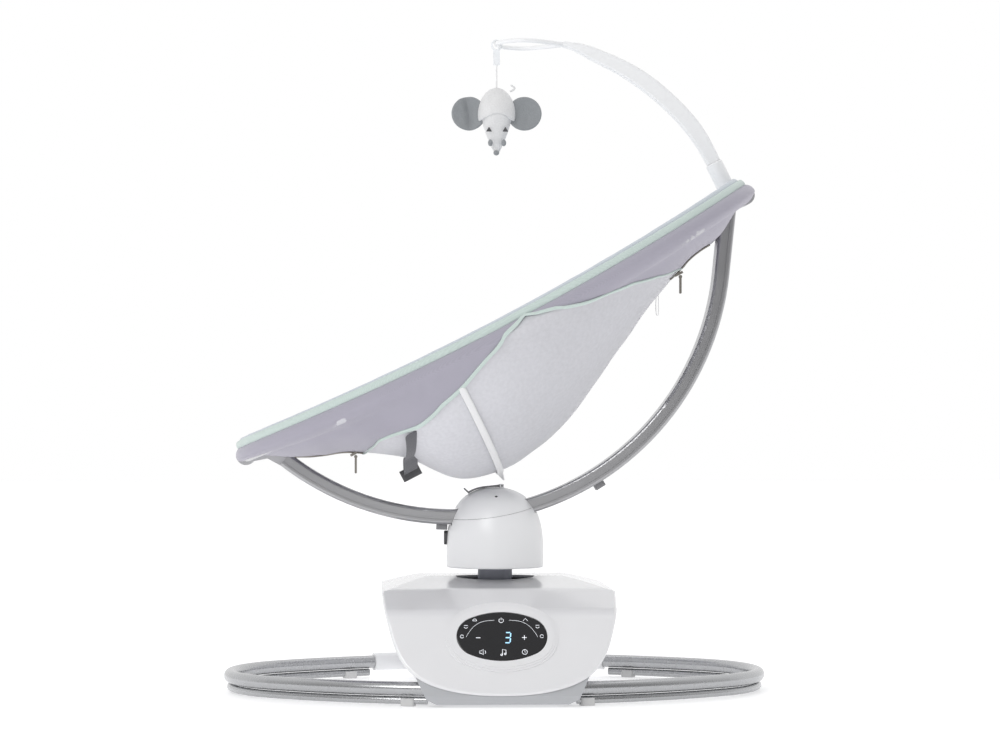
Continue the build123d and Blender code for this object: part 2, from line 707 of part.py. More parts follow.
with BuildPart() as pod_lower:
    add(pod_block(0))
    fillet(pod_lower.edges().group_by(Axis.Z)[0], 2)
    add(pod_block(POD_WALL), mode=Mode.SUBTRACT)
    with BuildSketch(Plane.XY.offset(POD_FLOOR)):
        Circle(POD_R - POD_WALL + 0.2)
        RectangleRounded(NECK_X - NECK_IN, NECK_Y - NECK_IN, NECK_IN_R, mode=Mode.SUBTRACT)
    extrude(amount=3)
    add(rail_drum(SEAM_R, 90), mode=Mode.SUBTRACT)
    add(RAIL_CHANNEL, mode=Mode.SUBTRACT)
    with BuildSketch(BUTTON.offset(5)):
        SlotOverall(BUTTON_H + 2 * GAP, BUTTON_W + 2 * GAP, rotation=90)
    extrude(amount=-12, mode=Mode.SUBTRACT)
save(pod_lower, "pod_lower")

with BuildPart() as pod_cap:
    add(pod_block(0))
    with BuildSketch(Plane.XZ):
        with Locations((LEVER_X, LEVER_Z - 1.5)):
            Rectangle(5, 7)
    extrude(amount=LEVER_W / 2 + 2.4, both=True)
    with BuildSketch(Plane.XZ):
        with Locations((LEVER_X, LEVER_Z + 5 - 2.2)):
            Rectangle(12, 10)
    extrude(amount=LEVER_W / 2 + GAP, both=True, mode=Mode.SUBTRACT)
    with BuildSketch(Plane.XZ):
        with Locations((LEVER_X, LEVER_Z)):
            Circle(LEVER_PIN + RUNNING)
    extrude(amount=LEVER_W, both=True, mode=Mode.SUBTRACT)
    add(pod_block(POD_WALL), mode=Mode.SUBTRACT)
    add(rail_drum(SEAM_R - 0.4, 90), mode=Mode.INTERSECT)
    add(RAIL_CHANNEL, mode=Mode.SUBTRACT)
    with BuildSketch(SENSOR.offset(3)):
        Circle(1.9)
    extrude(amount=-8, mode=Mode.SUBTRACT)
save(pod_cap, "pod_cap")

with BuildPart() as sensor:
    with BuildSketch(SENSOR.offset(-0.6)):
        Circle(1.85)
    extrude(amount=-4)
save(sensor, "sound_sensor")

# Recline lever: a strip that follows the dome's top, with a finger tab at its foot end.
with BuildPart() as lever:
    with BuildSketch(Plane.XZ):
        with BuildLine():
            low = [(x, dome_height(x) + 0.5) for x in (-32, -24, -15, -6)]
            high = [(x * 1.02 - 0.3, z + 1.8) for x, z in low]
            Spline(*low)
            Polyline(low[-1], (LEVER_X, LEVER_Z - 1.6), (LEVER_X, LEVER_Z + 1.6), high[-1])
            Spline(*high)
            Line(high[0], low[0])
        make_face()
        with Locations((LEVER_X, LEVER_Z)):
            Circle(1.7)
        tab_x, tab_z = low[0][0] - 0.4, low[0][1] + 0.5
        tab = ((0, 0), (1.4, 1.2), (-4.2, 6.4), (-5.4, 5.0))
        Polygon(*[(tab_x + dx, tab_z + dz) for dx, dz in tab], align=None)
    extrude(amount=LEVER_W / 2, both=True)
    with BuildSketch(Plane.XZ):
        with Locations((LEVER_X, LEVER_Z)):
            Circle(LEVER_PIN)
    extrude(amount=LEVER_W / 2 + 2.2, both=True)
save(lever, "recline_lever")

with BuildPart() as button:
    with BuildSketch(BUTTON.offset(3.2)):
        SlotOverall(BUTTON_H, BUTTON_W, rotation=90)
    extrude(amount=-9)
    with BuildSketch(BUTTON.offset(-5.8)):
        SlotOverall(BUTTON_H + 3, BUTTON_W + 2, rotation=90)
    extrude(amount=-2)
    fillet(button.edges().group_by(Axis.X)[0], 1.2)
save(button, "release_button")

# ---------------------------------------------------------------- rail cradle and rollers
CHEEK_Y, CHEEK_T, PIN_R, ROLLER_HALF = 19.6, 4.0, 3.0, 15.0
ROLLER_GAP = 0.3
LOAD_RADIUS = RAIL_R + RAIL_T / 2 + ROLLER_R + ROLLER_GAP
HOLD_RADIUS = RAIL_R - RAIL_T / 2 - HOLD_R - ROLLER_GAP
ROLLERS = {
    "load_roller_foot": (rail_xz(3.4, LOAD_RADIUS), ROLLER_R),
    "load_roller_head": (rail_xz(13.6, LOAD_RADIUS), ROLLER_R),
    "hold_roller": (rail_xz(9.5, HOLD_RADIUS), HOLD_R),
}
CRADLE_Z = POD_FLOOR + 3

with BuildPart() as cradle:
    with BuildSketch(Plane.XZ):
        Polygon(
            (-40, CRADLE_Z), (40, CRADLE_Z), (40, 206), (24, 214), (11, 232), (5, 235),
            (-5, 235), (-11, 232), (-24, 212), (-40, 200), align=None,
        )
        with Locations(*[centre for centre, _ in ROLLERS.values()]):
            Circle(PIN_R, mode=Mode.SUBTRACT)
    extrude(amount=CHEEK_Y + CHEEK_T, both=True)
    with BuildSketch(Plane.XZ):
        Polygon((-60, CRADLE_Z + 4), (60, CRADLE_Z + 4), (60, 300), (-60, 300), align=None)
    extrude(amount=CHEEK_Y, both=True, mode=Mode.SUBTRACT)
save(cradle, "rail_cradle")

with BuildPart() as roller_pins:
    with BuildSketch(Plane.XZ):
        with Locations(*[centre for centre, _ in ROLLERS.values()]):
            Circle(PIN_R)
    extrude(amount=CHEEK_Y + CHEEK_T, both=True)
save(roller_pins, "roller_pins")

for roller_name, (centre, radius) in ROLLERS.items():
    with BuildPart() as roller:
        with BuildSketch(Plane.XZ):
            with Locations(centre):
                Circle(radius)
                Circle(PIN_R + RUNNING, mode=Mode.SUBTRACT)
        extrude(amount=ROLLER_HALF, both=True)
        rims = roller.edges().filter_by(GeomType.CIRCLE).filter_by(lambda e: e.radius > PIN_R + 1)
        fillet(rims, 1)
    save(roller, roller_name)

# ---------------------------------------------------------------- rail
with BuildPart() as rail:
    with BuildLine() as rail_line:
        start = rail_xz(RAIL_FOOT, RAIL_R)
        middle = rail_xz((RAIL_FOOT + RAIL_HEAD) / 2, RAIL_R)
        end = rail_xz(RAIL_HEAD, RAIL_R)
        head = radians(RAIL_HEAD)
        tail = (end[0] + RAIL_TAIL * cos(head), end[1] + RAIL_TAIL * sin(head))
        ThreePointArc((start[0], 0, start[1]), (middle[0], 0, middle[1]), (end[0], 0, end[1]))
        Line((end[0], 0, end[1]), (tail[0], 0, tail[1]))
    with BuildSketch(rail_plane(RAIL_FOOT)):
        RectangleRounded(RAIL_W, RAIL_T, 3.5)
        Rectangle(RAIL_W - 8, RAIL_T - 6, mode=Mode.SUBTRACT)
        with Locations((-RAIL_W / 2, 1.5), (RAIL_W / 2, 1.5)):
            Rectangle(2 * RAIL_GROOVE, 3.4, mode=Mode.SUBTRACT)
    sweep(path=rail_line.wire())
save(rail, "rail")

STOP_ANGLES, STOP_L, STOP_H = (-2.2, 31.6), 13.0, 6.5
with BuildPart() as rail_stops:
    for stop_angle in STOP_ANGLES:
        at = rail_plane(stop_angle, RAIL_R + RAIL_T / 2)
        with BuildSketch(Plane(at.origin, x_dir=at.z_dir, z_dir=at.y_dir)):
            RectangleRounded(STOP_L, 20, 2)
        extrude(amount=STOP_H)
    add(rail_drum(RAIL_R + RAIL_T / 2, 20), mode=Mode.SUBTRACT)
save(rail_stops, "rail_stops")

# ---------------------------------------------------------------- seat hoop
def hoop_sweep(start, stop, radius):
    """Solid rod along the hoop between two angles round it."""
    steps = 12
    points = [hoop_point(start + (stop - start) * step / steps) for step in range(steps + 1)]
    with BuildPart(mode=Mode.PRIVATE) as rod:
        with BuildLine() as rod_line:
            Spline(*points)
        with BuildSketch(Plane(origin=rod_line.line @ 0, z_dir=rod_line.line % 0)):
            Circle(radius)
        sweep(path=rod_line.wire())
    return rod.part


for hoop_name, start in (("hoop_head", -90), ("hoop_foot", 90)):
    with BuildPart() as hoop:
        add(hoop_sweep(start, start + 180, HOOP_TUBE))
        add(hoop_sweep(start, start + 180, HOOP_TUBE - 1.5), mode=Mode.SUBTRACT)
    save(hoop, hoop_name)

HOOP_CUT = hoop_sweep(-60, 60, HOOP_TUBE) + hoop_sweep(120, 240, HOOP_TUBE)

with BuildPart() as hoop_couplers:
    for y in (-HOOP_B, HOOP_B):
        with BuildSketch(Plane(seat_point(-30, y, -HOOP_SAG), z_dir=seat_plane(0).z_dir)):
            Circle(HOOP_TUBE - 2.4)
        extrude(amount=60)
save(hoop_couplers, "hoop_couplers")

# ---------------------------------------------------------------- toy bar mount and brackets
PLUG_R, COLLAR_R = 6.0, 10.5
COLLAR_UP, COLLAR_DOWN, PLUG_DOWN = 26.0, -22.0, -24.5


def plug_plane(height):
    """Plane across the toy bar's plug at a height above the fabric."""
    origin = (PLUG_X + PLUG_AXIS[0] * height, 0, PLUG_Z + PLUG_AXIS[2] * height)
    return Plane(origin=origin, x_dir=(0, 1, 0), z_dir=PLUG_AXIS)


def plug_rod(radius, low, high):
    """Cylinder on the plug's axis between two heights."""
    with BuildPart(mode=Mode.PRIVATE) as rod:
        with BuildSketch(plug_plane(low)):
            Circle(radius)
        extrude(amount=high - low)
    return rod.part


with BuildPart() as collar:
    add(plug_rod(COLLAR_R, COLLAR_DOWN, COLLAR_UP))
    chamfer(collar.edges().filter_by(GeomType.CIRCLE).group_by(Axis.Z)[-1], 1.5)
    add(plug_rod(PLUG_R + RUNNING, COLLAR_DOWN - 1, COLLAR_UP + 1), mode=Mode.SUBTRACT)
    add(HOOP_CUT, mode=Mode.SUBTRACT)
save(collar, "toy_bar_collar")

HEAD_TUBE = seat_point(HOOP_A, 0, 0)
FOOT_TUBE = seat_point(-HOOP_A, 0, 0)
with BuildPart() as head_bracket:
    with BuildSketch(rail_plane(RAIL_HEAD).offset(RAIL_TAIL - 20)):
        Rectangle(RAIL_W - 8, RAIL_T - 6)
    extrude(amount=20)
    with BuildSketch(Plane.XZ):
        Polygon((271.5, 576), (289.5, 577.5), (304, 583), (296, 600), (283, 590), align=None)
        with Locations((HEAD_TUBE[0], HEAD_TUBE[2])):
            Circle(HOOP_TUBE + 3.5)
    extrude(amount=12, both=True)
    add(HOOP_CUT, mode=Mode.SUBTRACT)
    add(plug_rod(COLLAR_R, COLLAR_DOWN, COLLAR_UP), mode=Mode.SUBTRACT)
    add(plug_rod(PLUG_R + 1, COLLAR_DOWN - 4, 0), mode=Mode.SUBTRACT)
save(head_bracket, "head_bracket")

with BuildPart() as foot_bracket:
    with BuildSketch(rail_plane(RAIL_FOOT)):
        Rectangle(RAIL_W - 8, RAIL_T - 6)
    extrude(amount=20)
    foot_low = rail_xz(RAIL_FOOT, RAIL_R + RAIL_T / 2)
    foot_high = rail_xz(RAIL_FOOT, RAIL_R - RAIL_T / 2)
    with BuildSketch(Plane.XZ):
        Polygon(
            foot_low, foot_high, (-258, 294), (FOOT_TUBE[0] + 6, 292), (FOOT_TUBE[0] - 4, 272),
            (-272, 278), align=None,
        )
        with Locations((FOOT_TUBE[0], FOOT_TUBE[2])):
            Circle(HOOP_TUBE + 3.5)
    extrude(amount=12, both=True)
    add(HOOP_CUT, mode=Mode.SUBTRACT)
save(foot_bracket, "foot_bracket")

# ---------------------------------------------------------------- seat cloth
RIM_GAP = HOOP_TUBE + 1.5


def cloth_band(stations, inside, thickness, low=180.0, high=360.0):
    """Curved band that hangs from the hoop like a hammock, lofted along the seat.

    inside is how far its outer face lies inside the sling's outer face, and the angles
    say which stretch of the cross-section it covers, 180 and 360 being the two rims.
    """
    with BuildPart(mode=Mode.PRIVATE) as band:
        for s in stations:
            rim = -HOOP_SAG * (1 - (s / HOOP_A) ** 2)
            width = hoop_half_width(s, RIM_GAP) - inside
            depth = sling_depth(s) + rim - inside
            with BuildSketch(seat_plane(s)):
                with BuildLine():
                    sweep_angle = high - low
                    outer = EllipticalCenterArc((0, rim), width, depth, low, arc_size=sweep_angle)
                    inner = EllipticalCenterArc(
                        (0, rim), width - thickness, depth - thickness, low, arc_size=sweep_angle
                    )
                    Line(outer @ 0, inner @ 0)
                    Line(outer @ 1, inner @ 1)
                make_face()
        loft(ruled=True)
    return band.part


def rail_slot(low, high):
    """Block that clears the rail, its brackets and the collar from the cloth."""
    with BuildPart(mode=Mode.PRIVATE) as block:
        with BuildSketch(seat_plane(low)):
            Rectangle(2 * 21, 200)
        extrude(amount=high - low)
    return block.part


MESH_FOOT, MESH_HEAD, CLOTH_END = -215.0, 240.0, 320.0
SLING_AT = (
    MESH_FOOT, -190, -166, -143, -128, -108, -80, -50, -13, 17, 47, 82, 149, 180, 210, MESH_HEAD
)
FOOT_AT, HEAD_AT = (-276.0, -250.0), 264.0  # cloth sections beyond the mesh
with BuildPart() as sling:
    add(cloth_band(SLING_AT, 0, CLOTH))
save(sling, "mesh_sling")

with BuildPart() as foot_pocket:
    add(cloth_band((-CLOTH_END, -300, *FOOT_AT, MESH_FOOT - GAP), 0, CLOTH))
    add(rail_slot(-CLOTH_END - 5, -255), mode=Mode.SUBTRACT)
save(foot_pocket, "foot_panel")

with BuildPart() as head_pocket:
    add(cloth_band((MESH_HEAD + GAP, HEAD_AT, 290, CLOTH_END), 0, CLOTH))
    add(rail_slot(270, CLOTH_END + 5), mode=Mode.SUBTRACT)
save(head_pocket, "head_panel")

PAD = 9.0
with BuildPart() as liner:
    add(cloth_band((*FOOT_AT, *SLING_AT, HEAD_AT), CLOTH + 0.6, PAD))
save(liner, "liner_pad")

# ---------------------------------------------------------------- harness and trims
with BuildPart() as harness_straps:
    add(cloth_band((-98, -52), CLOTH + PAD + 2.5, 2, 264, 276))
    add(cloth_band((-36, -14), CLOTH + PAD + 2.5, 2, 200, 256))
    add(cloth_band((-36, -14), CLOTH + PAD + 2.5, 2, 284, 340))
save(harness_straps, "harness_straps")

BUCKLE_S = -24.0
BUCKLE_N = -sling_depth(BUCKLE_S) + CLOTH + PAD + 6.0
with BuildPart() as buckle:
    with BuildSketch(seat_plane(BUCKLE_S - 24, BUCKLE_N)):
        with Locations((0, 7)):
            RectangleRounded(46, 13, 5)
    extrude(amount=46)
    with BuildSketch(Plane(seat_point(BUCKLE_S, 0, BUCKLE_N + 20), z_dir=seat_plane(0).y_dir)):
        Circle(9)
    extrude(amount=-14, mode=Mode.SUBTRACT)
save(buckle, "harness_buckle")

with BuildPart() as buckle_button:
    with BuildSketch(Plane(seat_point(BUCKLE_S, 0, BUCKLE_N + 15.5), z_dir=seat_plane(0).y_dir)):
        Circle(8.6)
    extrude(amount=-6)
    fillet(buckle_button.edges().group_by(Axis((0, 0, 0), seat_plane(0).y_dir))[-1], 1)
save(buckle_button, "buckle_button")

STRAP_S = -181.0
with BuildPart() as under_strap:
    add(cloth_band((STRAP_S - 9, STRAP_S + 9), -5.0, 2.0, 204, 336))
save(under_strap, "under_strap")

UNDER_N = -sling_depth(STRAP_S + 22) - 9.0
with BuildPart() as under_buckle:
    with BuildSketch(seat_plane(STRAP_S - 4, UNDER_N)):
        RectangleRounded(24, 14, 3)
    extrude(amount=24)
    with BuildSketch(seat_plane(STRAP_S - 4, UNDER_N)):
        Rectangle(19, 4)
    extrude(amount=24, mode=Mode.SUBTRACT)
save(under_buckle, "under_buckle")

TAG_S, SLIDER_FOOT, SLIDER_HEAD = 190.0, (-222.0, -30.0), (216.0, -60.0)
with BuildPart() as ribbon_tag:
    tag_top = seat_point(TAG_S, 0, -sling_depth(TAG_S) - 0.6)
    with BuildSketch(Plane(origin=tag_top, x_dir=(0, 1, 0), z_dir=(0, 0, 1))):
        Rectangle(10, 2)
    extrude(amount=-28)
    with BuildSketch(Plane(origin=tag_top, x_dir=(0, 1, 0), z_dir=(0, 0, 1))):
        Rectangle(40, 40)
    extrude(amount=-3, mode=Mode.SUBTRACT)
save(ribbon_tag, "ribbon_tag")


def sling_outside(s, y):
    """Height n of the sling's outer face at s and y."""
    rim = -HOOP_SAG * (1 - (s / HOOP_A) ** 2)
    share = min(abs(y) / hoop_half_width(s, RIM_GAP), 1.0)
    return rim - (sling_depth(s) + rim) * sqrt(1 - share**2)


SLIDER_L, SLIDER_W, SLIDER_T, PULL_L = 10.0, 7.0, 3.0, 20.0
SLIDER_GAP = 4.2  # between the slider and the cloth, for the zip's teeth
PULL_HINGES = []
with BuildPart() as zip_sliders:
    for s, y in (SLIDER_FOOT, SLIDER_HEAD):
        n = sling_outside(s, y) - SLIDER_GAP
        with BuildSketch(Plane(seat_point(s, y, n), x_dir=(0, 1, 0), z_dir=seat_plane(0).y_dir)):
            RectangleRounded(SLIDER_W, SLIDER_L, 1.5)
        extrude(amount=-SLIDER_T)
        PULL_HINGES.append(seat_point(s, y, n - SLIDER_T - 2.4))
save(zip_sliders, "zip_sliders")

for pull_name, hinge in zip(("zip_pull_foot", "zip_pull_head"), PULL_HINGES):
    with BuildPart() as pull:
        with BuildSketch(Plane(origin=hinge, x_dir=(1, 0, 0), z_dir=(0, -1, 0))):
            Circle(2)
            with Locations((0, -PULL_L / 2)):
                RectangleRounded(2.6, PULL_L, 1.2)
        extrude(amount=2, both=True)
    save(pull, pull_name)

# ---------------------------------------------------------------- toy bar
BAR_HALF = 6.5
BASE = plug_plane(COLLAR_UP + GAP)
TIP_X, TIP_T = 82.0, 3.4
with BuildPart() as toy_bar:
    add(plug_rod(PLUG_R, PLUG_DOWN, COLLAR_UP + 4))
    with BuildSketch(Plane.XZ):
        with BuildLine():
            across = (-PLUG_AXIS[2] * 8.5, PLUG_AXIS[0] * 8.5)
            bottom = (BASE.origin.X + across[0], BASE.origin.Z + across[1])
            top = (BASE.origin.X - across[0], BASE.origin.Z - across[1])
            outer = Spline(
                top, (255.6, 668.4), (230.4, 700.8), (200.4, 728.4), (165.6, 752), (122, 771),
                (TIP_X, LOOP_Z + TIP_T), tangents=[(PLUG_AXIS[0], PLUG_AXIS[2]), (-1, 0.05)],
            )
            inner = Spline(
                bottom, (223.2, 679.2), (188.4, 712.2), (144, 742.5), (110, 760),
                (TIP_X, LOOP_Z - TIP_T), tangents=[(PLUG_AXIS[0], PLUG_AXIS[2]), (-1, 0.2)],
            )
            Line(outer @ 0, inner @ 0)
            Line(outer @ 1, inner @ 1)
        make_face()
    extrude(amount=BAR_HALF, both=True)
    long_edges = toy_bar.edges().filter_by(lambda e: e.length > 150)
    fillet(long_edges, 2.6)
    reach = TIP_X + 2 - LOOP_X
    turn = acos(LOOP_R / reach)
    for side in (-1, 1):
        with BuildLine() as loop_line:
            touch = (LOOP_X + LOOP_R * cos(turn), side * LOOP_R * sin(turn), LOOP_Z)
            half = degrees(pi + turn) / 2
            mid = (LOOP_X + LOOP_R * cos(radians(half)), side * LOOP_R * sin(radians(half)), LOOP_Z)
            Line((TIP_X + 2, 0, LOOP_Z), touch)
            ThreePointArc(touch, mid, (LOOP_X - LOOP_R, 0, LOOP_Z))
        with BuildSketch(Plane(origin=loop_line.line @ 0, z_dir=loop_line.line % 0)):
            Circle(LOOP_ROD)
        sweep(path=loop_line.wire())
save(toy_bar, "toy_bar")

# ---------------------------------------------------------------- hanging toy
TOY_X = LOOP_X - LOOP_R
RING_IN, RING_OUT, TAB_LOW = 4.5, 6.8, 751.0
RING_DROP = RING_IN - LOOP_ROD - 0.25
with BuildPart() as toy_clip:
    with BuildSketch(Plane.XZ):
        with Locations((TOY_X, LOOP_Z - RING_DROP)):
            Circle(RING_OUT)
        with Locations((TOY_X, (TAB_LOW + LOOP_Z - 8) / 2)):
            RectangleRounded(8, LOOP_Z - 8 - TAB_LOW + 2, 1)
        with Locations((TOY_X, LOOP_Z - RING_DROP)):
            Circle(RING_IN, mode=Mode.SUBTRACT)
    extrude(amount=1.8, both=True)
save(toy_clip, "toy_clip")

HEAD_TOP, HEAD_TIP, STRING_END, STRING_R = 723.0, 641.0, 716.0, 0.9
with BuildPart() as toy_string:
    with BuildSketch(Plane.XY.offset(STRING_END)):
        with Locations((TOY_X, 0)):
            Circle(STRING_R)
    extrude(amount=TAB_LOW - 1 - STRING_END)
save(toy_string, "toy_string")

with BuildPart() as toy_head:
    with BuildSketch(Plane.XZ):
        with BuildLine():
            profile = (
                (0, HEAD_TOP), (14, 717), (21.5, 698), (19.5, 682), (12, 661), (5, 646), (0, HEAD_TIP),
            )
            Spline(*[(TOY_X + r, z) for r, z in profile], tangents=[(1, 0), (-0.9, -0.4)])
            Line((TOY_X, HEAD_TIP), (TOY_X, HEAD_TOP))
        make_face()
    revolve(axis=Axis((TOY_X, 0, 0), (0, 0, 1)))
save(toy_head, "toy_head")

EAR_R, EAR_OFF, EAR_Z = 21.5, 33.0, 692.0
with BuildPart() as toy_ears:
    with BuildSketch(Plane.XZ):
        with Locations((TOY_X - EAR_OFF, EAR_Z), (TOY_X + EAR_OFF, EAR_Z)):
            Circle(EAR_R)
    extrude(amount=4, both=True)
    fillet(toy_ears.edges().filter_by(GeomType.CIRCLE), 3)
    add(toy_head.part, mode=Mode.SUBTRACT)
save(toy_ears, "toy_ears")
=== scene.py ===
import json
from math import cos, exp, pi, radians, sin, sqrt

import bmesh
import bpy
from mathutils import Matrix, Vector, noise


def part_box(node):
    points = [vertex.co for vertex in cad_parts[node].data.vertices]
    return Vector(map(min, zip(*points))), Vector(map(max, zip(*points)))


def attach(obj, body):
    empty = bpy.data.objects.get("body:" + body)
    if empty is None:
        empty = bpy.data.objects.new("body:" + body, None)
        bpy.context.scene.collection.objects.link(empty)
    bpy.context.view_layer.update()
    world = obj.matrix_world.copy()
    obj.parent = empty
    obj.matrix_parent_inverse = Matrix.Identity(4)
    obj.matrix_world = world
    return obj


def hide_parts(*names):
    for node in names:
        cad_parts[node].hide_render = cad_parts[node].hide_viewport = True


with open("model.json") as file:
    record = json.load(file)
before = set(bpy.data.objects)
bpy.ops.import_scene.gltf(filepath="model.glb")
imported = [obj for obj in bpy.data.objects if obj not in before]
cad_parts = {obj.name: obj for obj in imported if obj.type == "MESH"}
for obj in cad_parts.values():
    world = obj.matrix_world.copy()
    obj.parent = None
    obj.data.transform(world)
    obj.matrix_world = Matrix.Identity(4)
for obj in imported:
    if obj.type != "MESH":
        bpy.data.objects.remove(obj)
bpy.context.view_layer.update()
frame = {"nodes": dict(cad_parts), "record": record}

# Looks of the electric baby swing, in metres, in the frame of its CAD model: +X to the head end,
# +Y to the back, +Z up, origin on the floor under the middle of the base.

MM = 0.001


# ---------------------------------------------------------------- stage
def add_camera():
    """Camera in front of the swing, a little to its foot end and below the seat."""
    data = bpy.data.cameras.new("camera")
    data.lens = 90
    data.sensor_width = 36
    data.shift_x, data.shift_y = 0.005, 0.065
    camera = bpy.data.objects.new("camera", data)
    turn = 0.045
    camera.location = (-3.0 * turn, -3.0, 0.3)
    camera.rotation_euler = (pi / 2, 0, -turn)
    bpy.context.scene.collection.objects.link(camera)
    bpy.context.scene.camera = camera


def add_light(name, place, target, size, power):
    """Square soft light that points at a target."""
    data = bpy.data.lights.new(name, "AREA")
    data.size = size
    data.energy = power
    light = bpy.data.objects.new(name, data)
    light.location = place
    light.rotation_euler = (Vector(target) - Vector(place)).to_track_quat("-Z", "Y").to_euler()
    bpy.context.scene.collection.objects.link(light)


def add_world():
    """White studio surroundings, greyer low down in front, which gives the metal its shades."""
    world = bpy.data.worlds.new("studio")
    world.use_nodes = True
    nodes, links = world.node_tree.nodes, world.node_tree.links
    place = nodes.new("ShaderNodeTexCoord")
    split = nodes.new("ShaderNodeSeparateXYZ")
    links.new(place.outputs["Generated"], split.inputs[0])
    ramp = nodes.new("ShaderNodeMapRange")
    ramp.interpolation_type = "SMOOTHSTEP"
    for socket, value in (("From Min", -0.9), ("From Max", 0.35), ("To Min", 0.3), ("To Max", 1.0)):
        ramp.inputs[socket].default_value = value
    links.new(split.outputs["Y"], ramp.inputs["Value"])
    links.new(ramp.outputs["Result"], nodes["Background"].inputs["Color"])
    nodes["Background"].inputs["Strength"].default_value = 1.0
    bpy.context.scene.world = world


def add_stage():
    """Camera, pale floor, soft lights and plain colour handling."""
    add_camera()
    add_world()
    bpy.context.scene.view_settings.view_transform = "Standard"
    bpy.ops.mesh.primitive_plane_add(size=30)
    floor = bpy.context.object
    floor.name = "floor"
    paper = surface("floor_white", (0.8, 0.8, 0.81), 0.6, Emission_Strength=0.42)
    paper.node_tree.nodes["Principled BSDF"].inputs["Emission Color"].default_value = (1, 1, 1, 1)
    floor.data.materials.append(paper)
    add_light("top_light", (0.2, 0.2, 2.4), (0, 0, 0.3), 1.8, 5)
    add_light("key_light", (-1.2, -2.6, 1.9), (0, 0, 0.35), 1.4, 30)


# ---------------------------------------------------------------- materials
def surface(name, color, roughness, **sockets):
    """Principled material; sockets are named with underscores for spaces."""
    material = bpy.data.materials.new(name)
    material.use_nodes = True
    shader = material.node_tree.nodes["Principled BSDF"]
    shader.inputs["Base Color"].default_value = (*color, 1)
    shader.inputs["Roughness"].default_value = roughness
    for socket, value in sockets.items():
        shader.inputs[socket.replace("_", " ")].default_value = value
    return material


def add_node(material, kind, **values):
    """New node with its input sockets set by name."""
    node = material.node_tree.nodes.new(kind)
    for socket, value in values.items():
        node.inputs[socket.replace("_", " ")].default_value = value
    return node


def place_of(material):
    """Texture coordinates of the piece in the row frame."""
    return add_node(material, "ShaderNodeTexCoord").outputs["Object"]


def noise_value(material, scale, detail=3.0, stretch=(1, 1, 1)):
    """Noise from 0 to 1 at a scale in 1/m, stretched along the axes."""
    links = material.node_tree.links
    mapping = add_node(material, "ShaderNodeMapping", Scale=stretch)
    links.new(place_of(material), mapping.inputs["Vector"])
    texture = add_node(material, "ShaderNodeTexNoise", Scale=scale, Detail=detail)
    links.new(mapping.outputs["Vector"], texture.inputs["Vector"])
    return texture.outputs["Fac"]


def wave_value(material, pitch, axis, turn=(0, 0, 0)):
    """Bands from 0 to 1 across one axis, a pitch apart."""
    links = material.node_tree.links
    mapping = add_node(material, "ShaderNodeMapping", Rotation=turn)
    links.new(place_of(material), mapping.inputs["Vector"])
    wave = add_node(material, "ShaderNodeTexWave", Scale=2 * pi / (20 * pitch))
    wave.bands_direction = axis
    links.new(mapping.outputs["Vector"], wave.inputs["Vector"])
    return wave.outputs["Fac"]


def combine(material, operation, first, second):
    """Math node on two outputs or numbers."""
    node = add_node(material, "ShaderNodeMath")
    node.operation = operation
    for socket, value in zip(node.inputs, (first, second)):
        if isinstance(value, (int, float)):
            socket.default_value = value
        else:
            material.node_tree.links.new(value, socket)
    return node.outputs[0]


def tint(material, value, dark, light):
    """Base colour between dark and light shares of itself, by a value from 0 to 1."""
    links = material.node_tree.links
    shader = material.node_tree.nodes["Principled BSDF"]
    base = shader.inputs["Base Color"]
    share = add_node(material, "ShaderNodeMapRange", To_Min=dark, To_Max=light)
    links.new(value, share.inputs["Value"])
    mix = add_node(material, "ShaderNodeMix")
    mix.data_type = "RGBA"
    mix.blend_type = "MULTIPLY"
    mix.inputs["Factor"].default_value = 1.0
    if base.is_linked:
        links.new(base.links[0].from_socket, mix.inputs["A"])
    else:
        mix.inputs["A"].default_value = base.default_value
    links.new(share.outputs["Result"], mix.inputs["B"])
    links.new(mix.outputs["Result"], base)


def roughen(material, value, low, high):
    """Roughness between two limits, by a value from 0 to 1."""
    links = material.node_tree.links
    shader = material.node_tree.nodes["Principled BSDF"]
    share = add_node(material, "ShaderNodeMapRange", To_Min=low, To_Max=high)
    links.new(value, share.inputs["Value"])
    links.new(share.outputs["Result"], shader.inputs["Roughness"])


def emboss(material, value, height, strength=1.0):
    """Bump of a height in metres, by a value from 0 to 1."""
    links = material.node_tree.links
    shader = material.node_tree.nodes["Principled BSDF"]
    bump = add_node(material, "ShaderNodeBump", Distance=height, Strength=strength)
    links.new(value, bump.inputs["Height"])
    if shader.inputs["Normal"].is_linked:
        links.new(shader.inputs["Normal"].links[0].from_socket, bump.inputs["Normal"])
    links.new(bump.outputs["Normal"], shader.inputs["Normal"])


def moulded(name, color, roughness, coat=0.0):
    """Moulded plastic: faint mottling and uneven gloss."""
    material = surface(name, color, roughness, Coat_Weight=coat, Coat_Roughness=0.08)
    tint(material, noise_value(material, 22, 2), 0.98, 1.01)
    roughen(material, noise_value(material, 160, 3), roughness * 0.85, roughness * 1.2)
    return material


def metal(name, color, roughness, stretch):
    """Satin metal with a drawn grain along one direction."""
    material = surface(name, color, roughness, Metallic=1.0, Coat_Weight=0.12, Coat_Roughness=0.15)
    roughen(material, noise_value(material, 260, 4, stretch), roughness * 0.85, roughness * 1.2)
    tint(material, noise_value(material, 30, 3), 0.95, 1.02)
    return material


